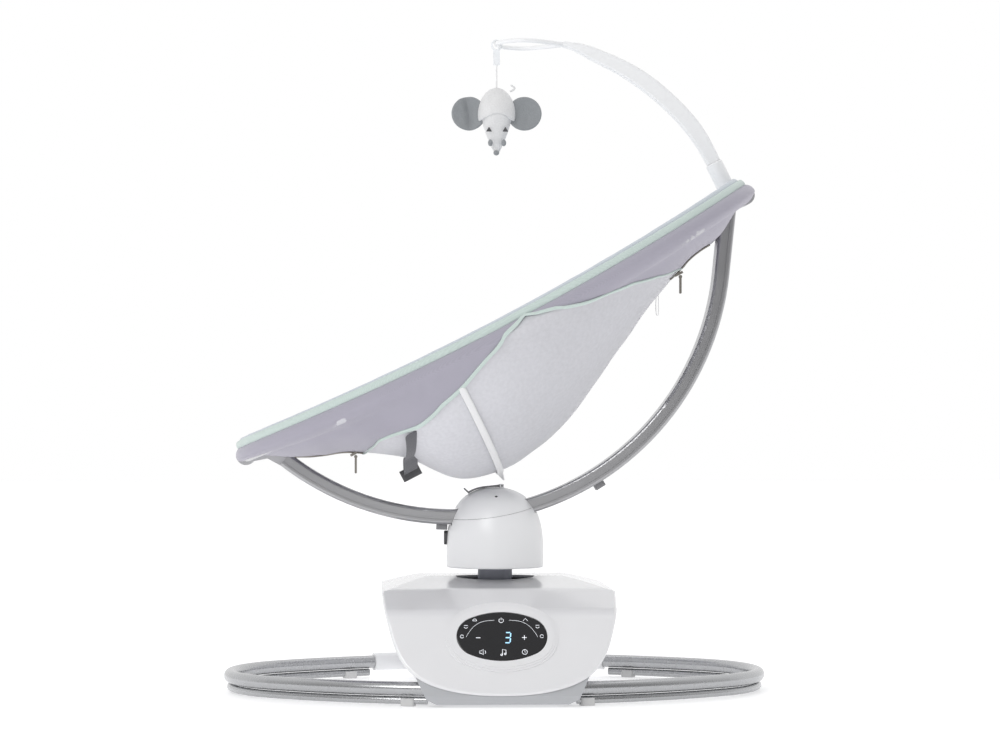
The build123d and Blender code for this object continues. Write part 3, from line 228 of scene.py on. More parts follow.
def woven(name, color, roughness, pitch, depth, sheen=0.25, turn=(0, 0, 0), mottle=0.05):
    """Plain weave in the seat's own directions, with slubs and soft mottling."""
    material = surface(name, color, roughness, Sheen_Weight=sheen, Sheen_Roughness=0.5)
    warp = wave_value(material, pitch, "X", turn)
    weft = wave_value(material, pitch, "Y", turn)
    rise = wave_value(material, pitch, "Z", turn)
    weave = combine(material, "MULTIPLY", combine(material, "MAXIMUM", warp, rise), weft)
    tint(material, weave, 0.93, 1.03)
    tint(material, noise_value(material, 14, 3), 1 - mottle, 1 + mottle * 0.5)
    tint(material, noise_value(material, 900, 2), 0.97, 1.02)
    emboss(material, noise_value(material, 60, 3), 0.0005, 0.35)
    emboss(material, weave, depth, 0.7)
    return material


def plush(name, color, pile=0.0006):
    """Short-pile plush: clumped tufts with strong sheen."""
    material = surface(name, color, 0.95, Sheen_Weight=0.6, Sheen_Roughness=0.4)
    tufts = noise_value(material, 700, 5)
    tint(material, tufts, 0.84, 1.07)
    tint(material, noise_value(material, 90, 2), 0.95, 1.03)
    emboss(material, tufts, pile, 0.9)
    return material


SEAT_TURN = (0, radians(27.6), 0)


def make_materials():
    """Every material, by the record's slot name."""
    found = {
        "ring_metal": metal("ring_metal", (0.46, 0.465, 0.475), 0.26, (1, 1, 0.15)),
        "rail_metal": metal("rail_metal", (0.42, 0.42, 0.43), 0.3, (0.1, 1.5, 0.1)),
        "white_plastic": moulded("white_plastic", (0.88, 0.885, 0.895), 0.34, 0.25),
        "gloss_white": moulded("gloss_white", (0.86, 0.86, 0.875), 0.2, 0.6),
        "grey_white": moulded("grey_white", (0.50, 0.51, 0.53), 0.45),
        "clear_grip": moulded("clear_grip", (0.62, 0.62, 0.62), 0.5, 0.1),
        "inner_plastic": moulded("inner_plastic", (0.12, 0.12, 0.13), 0.55),
        "inner_black": moulded("inner_black", (0.02, 0.02, 0.022), 0.5),
        "nylon": moulded("nylon", (0.78, 0.76, 0.70), 0.5),
        "neck_grey": moulded("neck_grey", (0.30, 0.31, 0.37), 0.42, 0.2),
        "lever_grey": moulded("lever_grey", (0.19, 0.19, 0.20), 0.42, 0.1),
        "dark_plastic": moulded("dark_plastic", (0.08, 0.08, 0.085), 0.42, 0.1),
        "stop_grey": moulded("stop_grey", (0.25, 0.25, 0.26), 0.45),
        "roller_rubber": moulded("roller_rubber", (0.03, 0.03, 0.03), 0.75),
        "clip_white": moulded("clip_white", (0.86, 0.88, 0.90), 0.3, 0.3),
        "steel": metal("steel", (0.60, 0.60, 0.62), 0.25, (0.2, 1, 1)),
        "motor_metal": metal("motor_metal", (0.45, 0.46, 0.48), 0.42, (1, 1, 0.2)),
        "bronze": metal("bronze", (0.55, 0.38, 0.18), 0.4, (1, 1, 1)),
        "bracket_grey": metal("bracket_grey", (0.55, 0.55, 0.56), 0.38, (1, 1, 1)),
        "zip_grey": metal("zip_grey", (0.30, 0.28, 0.25), 0.4, (1, 1, 1)),
        "liner_fabric": woven(
            "liner_fabric", (0.62, 0.67, 0.72), 0.9, 0.0011, 0.00012, 0.35, SEAT_TURN
        ),
        "lavender_fabric": woven(
            "lavender_fabric", (0.405, 0.39, 0.46), 0.82, 0.0007, 0.00006, 0.3, SEAT_TURN, 0.04
        ),
        "mint_trim": woven("mint_trim", (0.60, 0.70, 0.665), 0.85, 0.0009, 0.00012, 0.35, SEAT_TURN),
        "webbing_grey": woven("webbing_grey", (0.13, 0.13, 0.145), 0.8, 0.0015, 0.0003, 0.2, SEAT_TURN),
        "tag_fabric": woven("tag_fabric", (0.86, 0.86, 0.87), 0.6, 0.0006, 0.00005, 0.3),
        "string_white": woven("string_white", (0.88, 0.88, 0.88), 0.8, 0.0009, 0.0002, 0.2),
        "plush_white": plush("plush_white", (0.80, 0.80, 0.805)),
        "plush_grey": plush("plush_grey", (0.31, 0.325, 0.34)),
    }
    found["panel_black"] = surface(
        "panel_black", (0.008, 0.008, 0.010), 0.08, Coat_Weight=1.0, Coat_Roughness=0.03
    )
    roughen(found["panel_black"], noise_value(found["panel_black"], 90, 4), 0.05, 0.12)
    board = surface("circuit_board", (0.012, 0.10, 0.035), 0.4)
    tint(board, noise_value(board, 500, 2), 0.8, 1.2)
    found["circuit_board"] = board
    found["mesh_white"] = mesh_fabric()
    return found


def mesh_fabric():
    """Fine mesh cloth: translucent, mottled, and with painted shade that makes it a little darker to
    the head end.
    """
    material = surface("mesh_white", (0.83, 0.83, 0.87), 0.75, Sheen_Weight=0.25)
    links = material.node_tree.links
    shader = material.node_tree.nodes["Principled BSDF"]
    rows = noise_value(material, 240, 2)
    tint(material, rows, 0.985, 1.01)
    tint(material, noise_value(material, 9, 3), 0.96, 1.02)
    # Painted shade: lighter to the foot end and darker to the head end, as the light falls across the
    # seat.
    split = add_node(material, "ShaderNodeSeparateXYZ")
    links.new(place_of(material), split.inputs[0])
    along = add_node(material, "ShaderNodeMapRange", From_Min=-0.09, From_Max=0.05)
    links.new(split.outputs["X"], along.inputs["Value"])
    tint(material, along.outputs["Result"], 1.08, 0.93)
    emboss(material, rows, 0.0001, 0.4)
    alpha = add_node(material, "ShaderNodeMapRange", To_Min=0.60, To_Max=0.72)
    links.new(rows, alpha.inputs["Value"])
    links.new(alpha.outputs["Result"], shader.inputs["Alpha"])
    return material


def paint_cad_nodes():
    """Gives every CAD node its slot's material."""
    for part in frame["record"]["subparts"]:
        node = frame["nodes"][part["node"]]
        node.data.materials.clear()
        node.data.materials.append(materials[part["material_slot"]])


# ---------------------------------------------------------------- mesh helpers
def new_object(name, data):
    """Object of a mesh or curve, linked to the scene."""
    made = bpy.data.objects.new(name, data)
    bpy.context.scene.collection.objects.link(made)
    return made


def mesh_object(name, points, faces, weld=0.0):
    """Smooth mesh from points and faces, with points closer than weld joined."""
    data = bpy.data.meshes.new(name)
    data.from_pydata([tuple(p) for p in points], [], faces)
    if weld:
        edit = bmesh.new()
        edit.from_mesh(data)
        bmesh.ops.remove_doubles(edit, verts=edit.verts, dist=weld)
        bmesh.ops.dissolve_degenerate(edit, edges=edit.edges, dist=weld / 3)
        bmesh.ops.recalc_face_normals(edit, faces=edit.faces)
        edit.to_mesh(data)
        edit.free()
    for polygon in data.polygons:
        polygon.use_smooth = True
    return new_object(name, data)


def grid_faces(rows, columns, wrap_rows=False, wrap_columns=False):
    """Quads between a grid's points, closed round either way if asked."""
    faces = []
    for i in range(rows if wrap_rows else rows - 1):
        for j in range(columns if wrap_columns else columns - 1):
            k, m = (i + 1) % rows, (j + 1) % columns
            faces.append((i * columns + j, i * columns + m, k * columns + m, k * columns + j))
    return faces


def grid_object(name, grid, wrap_rows=False, wrap_columns=False, weld=0.0):
    """Smooth mesh through rows of points."""
    points = [point for row in grid for point in row]
    faces = grid_faces(len(grid), len(grid[0]), wrap_rows, wrap_columns)
    return mesh_object(name, points, faces, weld)


def thicken(piece, thickness):
    """Gives a sheet its thickness, half to each side, and smooths it."""
    solid = piece.modifiers.new("thickness", "SOLIDIFY")
    solid.thickness = thickness
    solid.offset = 0.0
    smooth(piece)


def smooth(piece):
    """Subdivision surface, one level in views and renders."""
    modifier = piece.modifiers.new("smooth", "SUBSURF")
    modifier.levels = modifier.render_levels = 1


def dress(piece, body, slot):
    """Material by its record slot name, and body, of a new piece."""
    piece.data.materials.append(materials[slot])
    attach(piece, body)
    return piece


def strip_object(name, centres, acrosses, width, thickness, corner=0.35, closed=False):
    """Flat band with rounded edges along centre points; acrosses are its width directions."""
    grid = []
    count = len(centres)
    for i, centre in enumerate(centres):
        ahead = centres[(i + 1) % count] if closed or i + 1 < count else centre
        behind = centres[i - 1] if closed or i else centre
        along = (Vector(ahead) - Vector(behind)).normalized()
        across = Vector(acrosses[i]).normalized()
        up = along.cross(across).normalized()
        ring = []
        for step in range(12):
            a = 2 * pi * step / 12
            x = abs(cos(a)) ** corner * (1 if cos(a) >= 0 else -1) * width / 2
            y = abs(sin(a)) ** 0.8 * (1 if sin(a) >= 0 else -1) * thickness / 2
            ring.append(Vector(centre) + across * x + up * y)
        grid.append(ring)
    piece = grid_object(name, grid, closed, True)
    if not closed:
        data = piece.data
        edit = bmesh.new()
        edit.from_mesh(data)
        edit.verts.ensure_lookup_table()
        for start in (0, (count - 1) * 12):
            edit.faces.new([edit.verts[start + k] for k in range(12)])
        bmesh.ops.recalc_face_normals(edit, faces=edit.faces)
        edit.to_mesh(data)
        edit.free()
    return piece


# ---------------------------------------------------------------- shape of the seat
SEAT_X, SEAT_Z, SEAT_TILT = 0.0015, 0.438, radians(27.6)
HOOP_A, HOOP_B, HOOP_POWER, HOOP_SAG = 0.3375, 0.192, 2.2, 0.020
RIM_GAP, FAN = 0.0095, 0.250
SLEEVE_R = 0.0114
SLING_LINE = (
    (-330, 10), (-313, 16), (-276, 34), (-230, 48), (-207, 63), (-166, 90), (-143, 124),
    (-128, 140), (-108, 150), (-80, 156), (-50, 156), (-13, 151), (17, 142), (47, 129),
    (82, 110), (149, 75), (180, 60), (210, 47), (240, 34), (264, 31), (281, 33), (300, 24),
    (318, 16), (330, 13),
)  # depth of the lowest line below the hoop's chord, in millimetres, as in the CAD model


def between(table, x):
    """Value at x in a table of (x, value), held at its ends."""
    if x <= table[0][0]:
        return table[0][1]
    for (x0, v0), (x1, v1) in zip(table, table[1:]):
        if x <= x1:
            return v0 + (v1 - v0) * (x - x0) / (x1 - x0)
    return table[-1][1]


def sling_depth(s):
    """Smoothed depth of the lowest line at s."""
    steps = (-10, -5, 0, 5, 10)
    return sum(between(SLING_LINE, s / MM + step) for step in steps) / len(steps) * MM


def seat_point(s, y, n):
    """Point from the seat's own directions: s to the head, y back, n up from the hoop."""
    x = SEAT_X + s * cos(SEAT_TILT) - n * sin(SEAT_TILT)
    return Vector((x, y, SEAT_Z + s * sin(SEAT_TILT) + n * cos(SEAT_TILT)))


SEAT_ALONG = seat_point(1, 0, 0) - seat_point(0, 0, 0)


def signed_power(value, power):
    """Power of a value's size, with the value's sign."""
    return abs(value) ** power * (1 if value >= 0 else -1)


def hoop(t):
    """The hoop's centreline at a turn t, 0 at the head end: s, y, n, and outward in s and y."""
    s = HOOP_A * signed_power(cos(t), 2 / HOOP_POWER)
    y = HOOP_B * signed_power(sin(t), 2 / HOOP_POWER)
    out_s = signed_power(s / HOOP_A, HOOP_POWER - 1) / HOOP_A
    out_y = signed_power(y / HOOP_B, HOOP_POWER - 1) / HOOP_B
    size = sqrt(out_s**2 + out_y**2)
    return s, y, -HOOP_SAG * (1 - (s / HOOP_A) ** 2), out_s / size, out_y / size


def rim_point(t, out, up):
    """Point beside the hoop's tube: out from its middle, and up."""
    s, y, n, out_s, out_y = hoop(t)
    return seat_point(s + out_s * out, y + out_y * out, n + up)


def cloth_point(t, phi, out=0.0):
    """Point of the hanging cloth: phi is 0 at the rim and a right angle at the lowest line."""
    s, y, n, out_s, out_y = hoop(t)
    s_in, y_in = s - out_s * RIM_GAP, y - out_y * RIM_GAP
    middle = max(-FAN, min(FAN, s_in))
    s_at = s_in + (middle - s_in) * (1 - cos(phi))
    drop = sling_depth(s_at) + n
    c, d = cos(phi), sin(phi)
    return seat_point(s_at + out_s * out * c, y_in * c + out_y * out * c, n - drop * d - out * d)


def turn_at(s, back):
    """Turn of the hoop whose inset point is at s, on the front (-1) or the back (1)."""
    low, high = 0.0, pi
    for _ in range(40):
        middle = (low + high) / 2
        at_s, _, _, out_s, _ = hoop(middle)
        if at_s - out_s * RIM_GAP > s:
            low = middle
        else:
            high = middle
    return back * (low + high) / 2


def inset_s(t):
    """Where along the seat the cloth's section of a turn hangs."""
    s, _, _, out_s, _ = hoop(t)
    return s - out_s * RIM_GAP


# ---------------------------------------------------------------- outer cloth
# The outer cloth runs over the tube and down the sling. Its place across is q, in degrees: below 0
# it is the angle up round the tube from outside, above 0 it is the cloth's phi.
SEAM_Q = -72.0
DRAPE_END = radians(22)  # where the cloth has come in from the tube to the sling
FOOT_EDGE = (
    (-215, 90), (-204, 61), (-188, 42), (-150, 28), (-130, 22), (-106, 16), (-78, 12), (-50, 7),
    (-14, 1), (10, -34), (24, SEAM_Q),
)
HEAD_EDGE = ((18, SEAM_Q), (32, -34), (62, 1), (104, 6), (150, 16), (180, 30), (210, 51), (238, 90))


def wrap_point(t, q, lift=0.0):
    """Point of the outer cloth at a turn and a place across, lifted off its usual surface."""
    if q < 0:
        a = radians(-q)
        return rim_point(t, (SLEEVE_R + lift) * cos(a), (SLEEVE_R + lift) * sin(a))
    phi = radians(q)
    reach = (SLEEVE_R + RIM_GAP - 0.0025) * max(0.0, 1 - phi / DRAPE_END) ** 2
    point = cloth_point(t, phi, 0.0025 + reach + lift)
    # The cloth stays outside the tube that it hangs from.
    middle = rim_point(t, 0, 0)
    outward, upward = rim_point(t, 1, 0) - middle, rim_point(t, 0, 1) - middle
    out, up = (point - middle).dot(outward), (point - middle).dot(upward)
    gap = sqrt(out**2 + up**2)
    push = max(0.0, SLEEVE_R + lift - gap) / gap
    return point + outward * out * push + upward * up * push


def spread(start, stop, count):
    """Evenly spaced values from start to stop."""
    return [start + (stop - start) * i / (count - 1) for i in range(count)]


def creased(t, q, size):
    """Lift of the cloth's soft wrinkles, which run from the rim down."""
    s = inset_s(t)
    fade = min(1.0, max(0.0, q / 12))
    side = 1 if sin(t) > 0 else -1
    run = noise.noise(Vector((s * 26, q * 0.012, side * 3.1)))
    cross = noise.noise(Vector((s * 9, q * 0.05, 8 + side)))
    return fade * size * (run + 0.7 * cross)


SLING_LIFT, BAND_LIFT = -0.0013, -0.0032  # the hammock and its inner band lie under the pockets
WRINKLE = 0.0016
RIB_S, RIB_DROP = -0.078, 0.0115  # where the sewn rib hangs, and how far its tab hangs below it
BAND_EDGE = ((-70, 8), (-52, 10), (-22, 12), (10, 12), (74, 16), (132, 17), (205, 21))


def add_mesh_sling():
    """White mesh hammock from rim to rim, with a sewn rib across it and a band inside."""
    across = spread(-68, -6, 6) + spread(0, 86, 30)
    grid = []
    for s in spread(-0.224, 0.247, 84):
        near, far = turn_at(s, -1), turn_at(s, 1)
        row = [wrap_point(near, q, SLING_LIFT + creased(near, q, WRINKLE)) for q in across]
        row.append(wrap_point(near, 90, SLING_LIFT))
        row += [wrap_point(far, q, SLING_LIFT + creased(far, q, WRINKLE)) for q in reversed(across)]
        grid.append(row)
    sling = grid_object("sling_mesh", grid)
    thicken(sling, 0.0009)
    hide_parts("mesh_sling")
    dress(sling, "seat", "mesh_white")

    near, far = turn_at(RIB_S, -1), turn_at(RIB_S, 1)
    stops = [(near, q) for q in spread(11, 90, 30)] + [(far, q) for q in spread(87, 11, 29)]
    centres = [wrap_point(t, q, 0.0012) for t, q in stops]
    rib = strip_object("sling_rib", centres, [SEAT_ALONG] * len(stops), 0.0085, 0.0042, 0.8)
    smooth(rib)
    dress(rib, "seat", "tag_fabric")

    # The rib's two ends of tape hang below the lowest point as one pointed tab.
    low = wrap_point(near, 90, 0.0)
    down = (wrap_point(near, 90, 0.02) - low).normalized()
    tab_centres = [low + down * drop for drop in (-0.001, 0.004, 0.008, RIB_DROP)]
    tab = strip_object("rib_tab", tab_centres, [(1, 0, 0.5)] * 4, 0.0085, 0.003)
    for vertex in tab.data.vertices:
        drop = (vertex.co - low).dot(down)
        reach = max(0.0, drop) / RIB_DROP
        centre = low + down * drop
        vertex.co = centre + (vertex.co - centre) * (1 - 0.85 * min(1.0, reach))
    dress(tab, "seat", "tag_fabric")

    for name, back in (("inner_band_front", -1), ("inner_band_back", 1)):
        grid = []
        for s in spread(-0.068, 0.2, 40):
            t = turn_at(s, back)
            edge = between(BAND_EDGE, s / MM)
            grid.append([wrap_point(t, q, BAND_LIFT) for q in spread(edge - 5, edge, 6)])
        band = grid_object(name, grid)
        thicken(band, 0.0012)
        dress(band, "seat", "lavender_fabric")


def panel_grid(t_from, t_to, rows, edge, size):
    """Grid of an outer panel between two turns, from the mint seam down to its edge."""
    grid = []
    for t in spread(t_from, t_to, rows):
        low = between(edge, inset_s(t) / MM)
        row = []
        for step in range(30):
            share = step / 29
            q = SEAM_Q - 6 + (low - SEAM_Q + 6) * share
            row.append(wrap_point(t, q, creased(t, q, size)))
        grid.append(row)
    return grid


def edge_stops(edge):
    """Stops along a panel's lower edge, from its near end under the seat to its far end."""
    stops = []
    for (s0, q0), (s1, q1) in zip(edge, edge[1:]):
        for share in spread(0, 1, 7)[:-1]:
            stops.append((s0 + (s1 - s0) * share, q0 + (q1 - q0) * share))
    stops.append(edge[-1])
    if edge[0][1] > edge[-1][1]:
        stops.reverse()
    near = [(turn_at(s * MM, -1), q) for s, q in stops]
    far = [(turn_at(s * MM, 1), q) for s, q in reversed(stops[:-1])]
    return near + far


def add_edge_trim(name, edge, width, slot):
    """Narrow binding along a panel's lower edge."""
    stops = edge_stops(edge)
    centres = [wrap_point(t, q, 0.0014) for t, q in stops]
    acrosses = [wrap_point(t, q + 1.5, 0.0014) - wrap_point(t, q - 1.5, 0.0014) for t, q in stops]
    trim = strip_object(name, centres, acrosses, width, 0.0024)
    smooth(trim)
    return dress(trim, "seat", slot)


def add_outer_panels():
    """Lavender foot and head pockets with their mint bindings and zips."""
    foot_turn, head_turn = turn_at(0.024, 1), turn_at(0.018, 1)
    foot = grid_object(
        "foot_pocket",
        panel_grid(foot_turn, 2 * pi - foot_turn, 190, FOOT_EDGE, 0.0012),
        weld=0.0004,
    )
    head = grid_object(
        "head_pocket", panel_grid(-head_turn, head_turn, 190, HEAD_EDGE, 0.0012), weld=0.0004
    )
    for panel, node in ((foot, "foot_panel"), (head, "head_panel")):
        thicken(panel, 0.0014)
        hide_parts(node)
        dress(panel, "seat", "lavender_fabric")
    foot_trim = add_edge_trim("foot_pocket_trim", FOOT_EDGE, 0.0052, "mint_trim")
    head_trim = add_edge_trim("head_pocket_trim", HEAD_EDGE, 0.0040, "mint_trim")
    for name, line in (
        ("foot_zip", ((-312, 58), (-270, 74), (-222, 78), (-212, 79))),
        ("head_zip", ((200, 58), (216, 66), (250, 72), (300, 70))),
    ):
        stops = [(s, between(line, s)) for s in spread(line[0][0], line[-1][0], 30)]
        turns = [(turn_at(s * MM, -1), q) for s, q in stops]
        centres = [wrap_point(t, q, 0.0012) for t, q in turns]
        acrosses = [wrap_point(t, q + 1, 0.0) - wrap_point(t, q - 1, 0.0) for t, q in turns]
        zip_line = strip_object(name, centres, acrosses, 0.0042, 0.0022)
        dress(zip_line, "seat", "zip_grey")


def add_rim_binding():
    """Mint binding that closes the cloth along the top of the rim, with a dark strip under it as
    painted shade in the seam.
    """
    grid = []
    rows = 260
    for i in range(rows):
        t = 2 * pi * i / rows
        swell = 0.0004 * noise.noise(Vector((i * 0.33, 0, 4)))
        row = []
        for step in range(16):
            a = 2 * pi * step / 16
            out = 0.0022 + 0.0030 * signed_power(cos(a), 0.8) - 0.0012 * sin(a)
            up = 0.0149 + (0.0045 + swell) * signed_power(sin(a), 0.85)
            row.append(rim_point(t, out, up))
        grid.append(row)
    binding = grid_object("rim_binding", grid, True, True)
    smooth(binding)
    dress(binding, "seat", "mint_trim")
    turns = [2 * pi * i / rows for i in range(rows)]
    # Painted shade: a dark strip along the seam stands in for the shadow in the groove under the
    # binding.
    seam = strip_object(
        "rim_seam_shade_strip",
        [rim_point(t, 0.0042, 0.0102) for t in turns],
        [rim_point(t, 0.1, 1) - rim_point(t, 0, 0) for t in turns],
        0.0018, 0.0012, closed=True,
    )
    dress(seam, "seat", "webbing_grey")


def add_liner():
    """Padded liner: a quilted shell with a rolled top edge above the rim."""
    grid = []
    rows = 240
    downs = spread(8, 90, 30)
    for i in range(rows):
        t = 2 * pi * i / rows
        s = inset_s(t)
        rise = 0.0228 + 0.0016 * (s / HOOP_A) + 0.0005 * noise.noise(Vector((i * 0.4, 2, 0)))
        row = [cloth_point(t, radians(q), -0.0036) for q in reversed(downs)]
        roll = (
            (-0.0128, 0.001), (-0.0105, 0.007), (-0.0062, 0.0105), (-0.0012, 0.0125),
            (-0.0002, 0.0185), (-0.0020, rise - 0.0012), (-0.0060, rise), (-0.0110, rise - 0.002),
            (-0.0150, 0.0165), (-0.0180, 0.009), (-0.0200, 0.001),
        )
        row += [rim_point(t, out, up) for out, up in roll]
        for q in downs:
            row.append(cloth_point(t, radians(q), -0.0128 - quilt(s, q)))
        grid.append(row)
    liner = grid_object("liner", grid, True, False, weld=0.0003)
    smooth(liner)
    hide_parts("liner_pad")
    dress(liner, "seat", "liner_fabric")


QUILT_LINES = (-0.205, -0.125, 0.095, 0.185)


def quilt(s, q):
    """How far the liner's inner face stands in, with sewn channels across and along it."""
    if q < 14:
        return 0.0
    groove = sum(exp(-(((s - line) / 0.0045) ** 2)) for line in QUILT_LINES)
    groove += exp(-(((q - 34) / 2.2) ** 2)) if abs(s) < 0.235 else 0.0
    puff = 0.0028 * min(1.0, (q - 14) / 10)
    return puff * (1 - min(1.0, groove)) - 0.0012 * min(1.0, groove)


def add_webbing(name, stops, width, thickness, node=None):
    """Flat strap along stops of turn, phi and lift, its width along the seat."""
    centres = [cloth_point(t, radians(q), lift) for t, q, lift in stops]
    piece = strip_object(name, centres, [SEAT_ALONG] * len(stops), width, thickness, 0.2)
    smooth(piece)
    if node:
        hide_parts(node)
    return dress(piece, "seat", "webbing_grey")


def add_harness():
    """Waist straps and crotch strap to the buckle, and the strap under the sling."""
    belt_s = -0.025
    near, far = turn_at(belt_s, -1), turn_at(belt_s, 1)
    lift = -0.0172
    front = add_webbing(
        "waist_strap_front", [(near, q, lift) for q in spread(22, 82, 20)], 0.024, 0.0018,
        "harness_straps",
    )
    rear_stops = [(far, q, lift) for q in spread(22, 82, 20)]
    rear = add_webbing("waist_strap_back", rear_stops, 0.024, 0.0018)
    centres = [
        cloth_point(turn_at(s, -1), radians(89.9), lift) for s in spread(-0.112, -0.046, 12)
    ]
    crotch = strip_object("crotch_strap", centres, [(0, 1, 0)] * 12, 0.036, 0.0018, 0.2)
    smooth(crotch)
    dress(crotch, "seat", "webbing_grey")

    low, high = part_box("under_buckle")
    loop = (low + high) / 2
    sides = []
    for back in (-1, 1):
        side = []
        for q in spread(30, 66, 14):
            turn = turn_at(-0.150 - 0.014 * (q - 30) / 36, back)
            side.append(cloth_point(turn, radians(q), 0.0046))
        hang = side[-1]
        for share in (0.2, 0.4, 0.6, 0.8):
            at = hang.lerp(loop, share)
            side.append(at + Vector((0, 0, -0.004 * sin(pi * share))))
        sides.append(side)
    centres = sides[0] + [loop] + sides[1][::-1]
    under = strip_object("under_seat_strap", centres, [SEAT_ALONG] * len(centres), 0.0185, 0.0016, 0.2)
    smooth(under)
    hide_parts("under_strap")
    dress(under, "seat", "webbing_grey")


def add_ribbon():
    """Folded satin ribbon loop that hangs behind the head of the sling."""
    low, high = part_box("ribbon_tag")
    middle = (low + high) / 2
    top, drop = high.z + 0.002, high.z - low.z
    centres = []
    for z in spread(top, top - drop, 10):
        centres.append((middle.x + 0.0012, middle.y, z))
    for z in spread(top - drop - 0.0004, top, 10):
        centres.append((middle.x - 0.0012 - 0.0008 * sin((top - z) * 120), middle.y, z))
    ribbon = strip_object("ribbon_loop", centres, [(0.15, 1, 0)] * len(centres), 0.0095, 0.0006, 0.2)
    smooth(ribbon)
    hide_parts("ribbon_tag")
    dress(ribbon, "seat", "tag_fabric")


# ---------------------------------------------------------------- hanging toy
EYE_OUTLINE = ((0, 0.0034), (0.0036, -0.0026), (-0.0036, -0.0026))
EAR_RADIUS = 0.0208
CORD_DIAMETER = 0.0018


def ball(name, place, radii, shape=None):
    """Subdivided ball, optionally reshaped by a function of its unit point."""
    edit = bmesh.new()
    bmesh.ops.create_icosphere(edit, subdivisions=3, radius=1.0)
    for vertex in edit.verts:
        unit = vertex.co.copy()
        point = Vector((unit.x * radii[0], unit.y * radii[1], unit.z * radii[2]))
        vertex.co = Vector(place) + (shape(unit, point) if shape else point)
    data = bpy.data.meshes.new(name)
    edit.to_mesh(data)
    edit.free()
    for polygon in data.polygons:
        polygon.use_smooth = True
    piece = new_object(name, data)
    smooth(piece)
    return piece


def add_toy():
    """Plush mouse that hangs nose down: head, muzzle, cupped ears, eyes and tail on a cord."""
    low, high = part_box("toy_head")
    x = (low.x + high.x) / 2
    top, tip = high.z, low.z
    length = top - tip
    width = (high.x - low.x) / 2

    def teardrop(unit, point):
        """Egg that narrows to a nose at its lower end, with a seam pinched down its front."""
        share = (unit.z + 1) / 2
        narrow = 0.25 + 0.75 * min(1.0, share * 1.35) ** 0.8
        seam = 1 - 0.05 * exp(-((unit.x / 0.12) ** 2)) * (1 if unit.y < 0 else 0)
        lumps = 1 + 0.03 * noise.noise(unit * 2.2)
        return Vector((point.x * narrow * lumps, point.y * narrow * seam * lumps, point.z))

    middle = (x, 0, (top + tip) / 2)
    head = ball("mouse_head", middle, (width * 1.02, width * 0.98, length / 2), teardrop)
    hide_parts("toy_head")
    dress(head, "toy", "plush_white")

    def cap(unit, point):
        """Upper shell that ends in a hem over the brow."""
        return Vector((point.x, point.y, max(point.z, -0.004 + 0.004 * cos(unit.x * 3))))

    brow = (x, 0.0012, tip + length * 0.60)
    hood = ball("mouse_hood", brow, (width * 1.07, width * 1.03, length * 0.41), cap)
    dress(hood, "toy", "plush_white")

    nose = ball("mouse_nose", (x - 0.0005, -0.0035, tip + 0.0035), (0.0036, 0.0034, 0.0032))
    dress(nose, "toy", "plush_grey")

    for side, name in ((-1, "left"), (1, "right")):
        at = Vector((x + side * 0.0098, -0.0158, tip + 0.030))
        eye = flat_patch(f"mouse_eye_{name}", at, EYE_OUTLINE, 0.0011)
        dress(eye, "toy", "dark_plastic")
        cheek = at + Vector((side * -0.0018, 0.0035, -0.0155))
        spot = ball(f"mouse_spot_{name}", cheek, (0.0030, 0.0022, 0.0042))
        dress(spot, "toy", "plush_grey")
    ears_low, ears_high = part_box("toy_ears")
    for side, name in ((-1, "left"), (1, "right")):
        ear = add_ear(f"mouse_ear_{name}", side, x, (ears_low.z + ears_high.z) / 2)
        if side < 0:
            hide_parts("toy_ears")

    centres = []
    for a in spread(0, 3, 10):
        centres.append((x + 0.016 + 0.006 * sin(a), 0.004, top - 0.004 + 0.008 * a / 3))
    tail = strip_object("mouse_tail", centres, [(0, 1, 0)] * 10, 0.0028, 0.0024, 0.9)
    smooth(tail)
    dress(tail, "toy", "plush_white")

    string_low, string_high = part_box("toy_string")
    data = bpy.data.curves.new("toy_cord", "CURVE")
    data.dimensions = "3D"
    data.bevel_depth = CORD_DIAMETER / 2
    data.bevel_resolution = 4
    spline = data.splines.new("NURBS")
    heights = spread(string_high.z, string_low.z, 4)
    spline.points.add(len(heights) - 1)
    for point, z in zip(spline.points, heights):
        point.co = (x, 0, z, 1)
    spline.order_u = 3
    spline.use_endpoint_u = True
    cord = new_object("toy_cord", data)
    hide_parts("toy_string")
    dress(cord, "toy", "string_white")


def flat_patch(name, place, outline, thickness):
    """Small sewn patch that faces the front."""
    edit = bmesh.new()
    face = edit.faces.new([edit.verts.new(Vector(place) + Vector((u, 0, v))) for u, v in outline])
    made = bmesh.ops.extrude_face_region(edit, geom=[face])["geom"]
    for part in made:
        if isinstance(part, bmesh.types.BMVert):
            part.co.y -= thickness
    bmesh.ops.recalc_face_normals(edit, faces=edit.faces)
    bmesh.ops.bevel(
        edit, geom=list(edit.edges), offset=thickness * 0.4, segments=2, affect="EDGES"
    )
    data = bpy.data.meshes.new(name)
    edit.to_mesh(data)
    edit.free()
    return new_object(name, data)


def add_ear(name, side, x, z):
    """Cupped grey disc with a rolled rim; the left one is creased down its middle."""
    rings, around = 9, 36
    centre = Vector((x + side * 0.0335, 0.001, z))
    grid = []
    for i in range(rings):
        r = EAR_RADIUS * (i / (rings - 1)) ** 0.9
        ring = []
        for j in range(around):
            a = 2 * pi * j / around
            u, v = r * cos(a), r * sin(a) * 0.98
            cup = 0.0045 * (r / EAR_RADIUS) ** 2
            crease = 0.0045 * exp(-((u + 0.15 * v) / 0.0042) ** 2) if side < 0 else 0.0
            ripple_at = 0.0007 * noise.noise(Vector((u * 120, v * 120, side * 5)))
            ring.append(centre + Vector((u, -cup + crease + ripple_at + 0.002, v)))
        grid.append(ring)
    ear = grid_object(name, grid, False, True, weld=0.00005)
    thicken(ear, 0.0034)
    dress(ear, "toy", "plush_grey")
    return ear


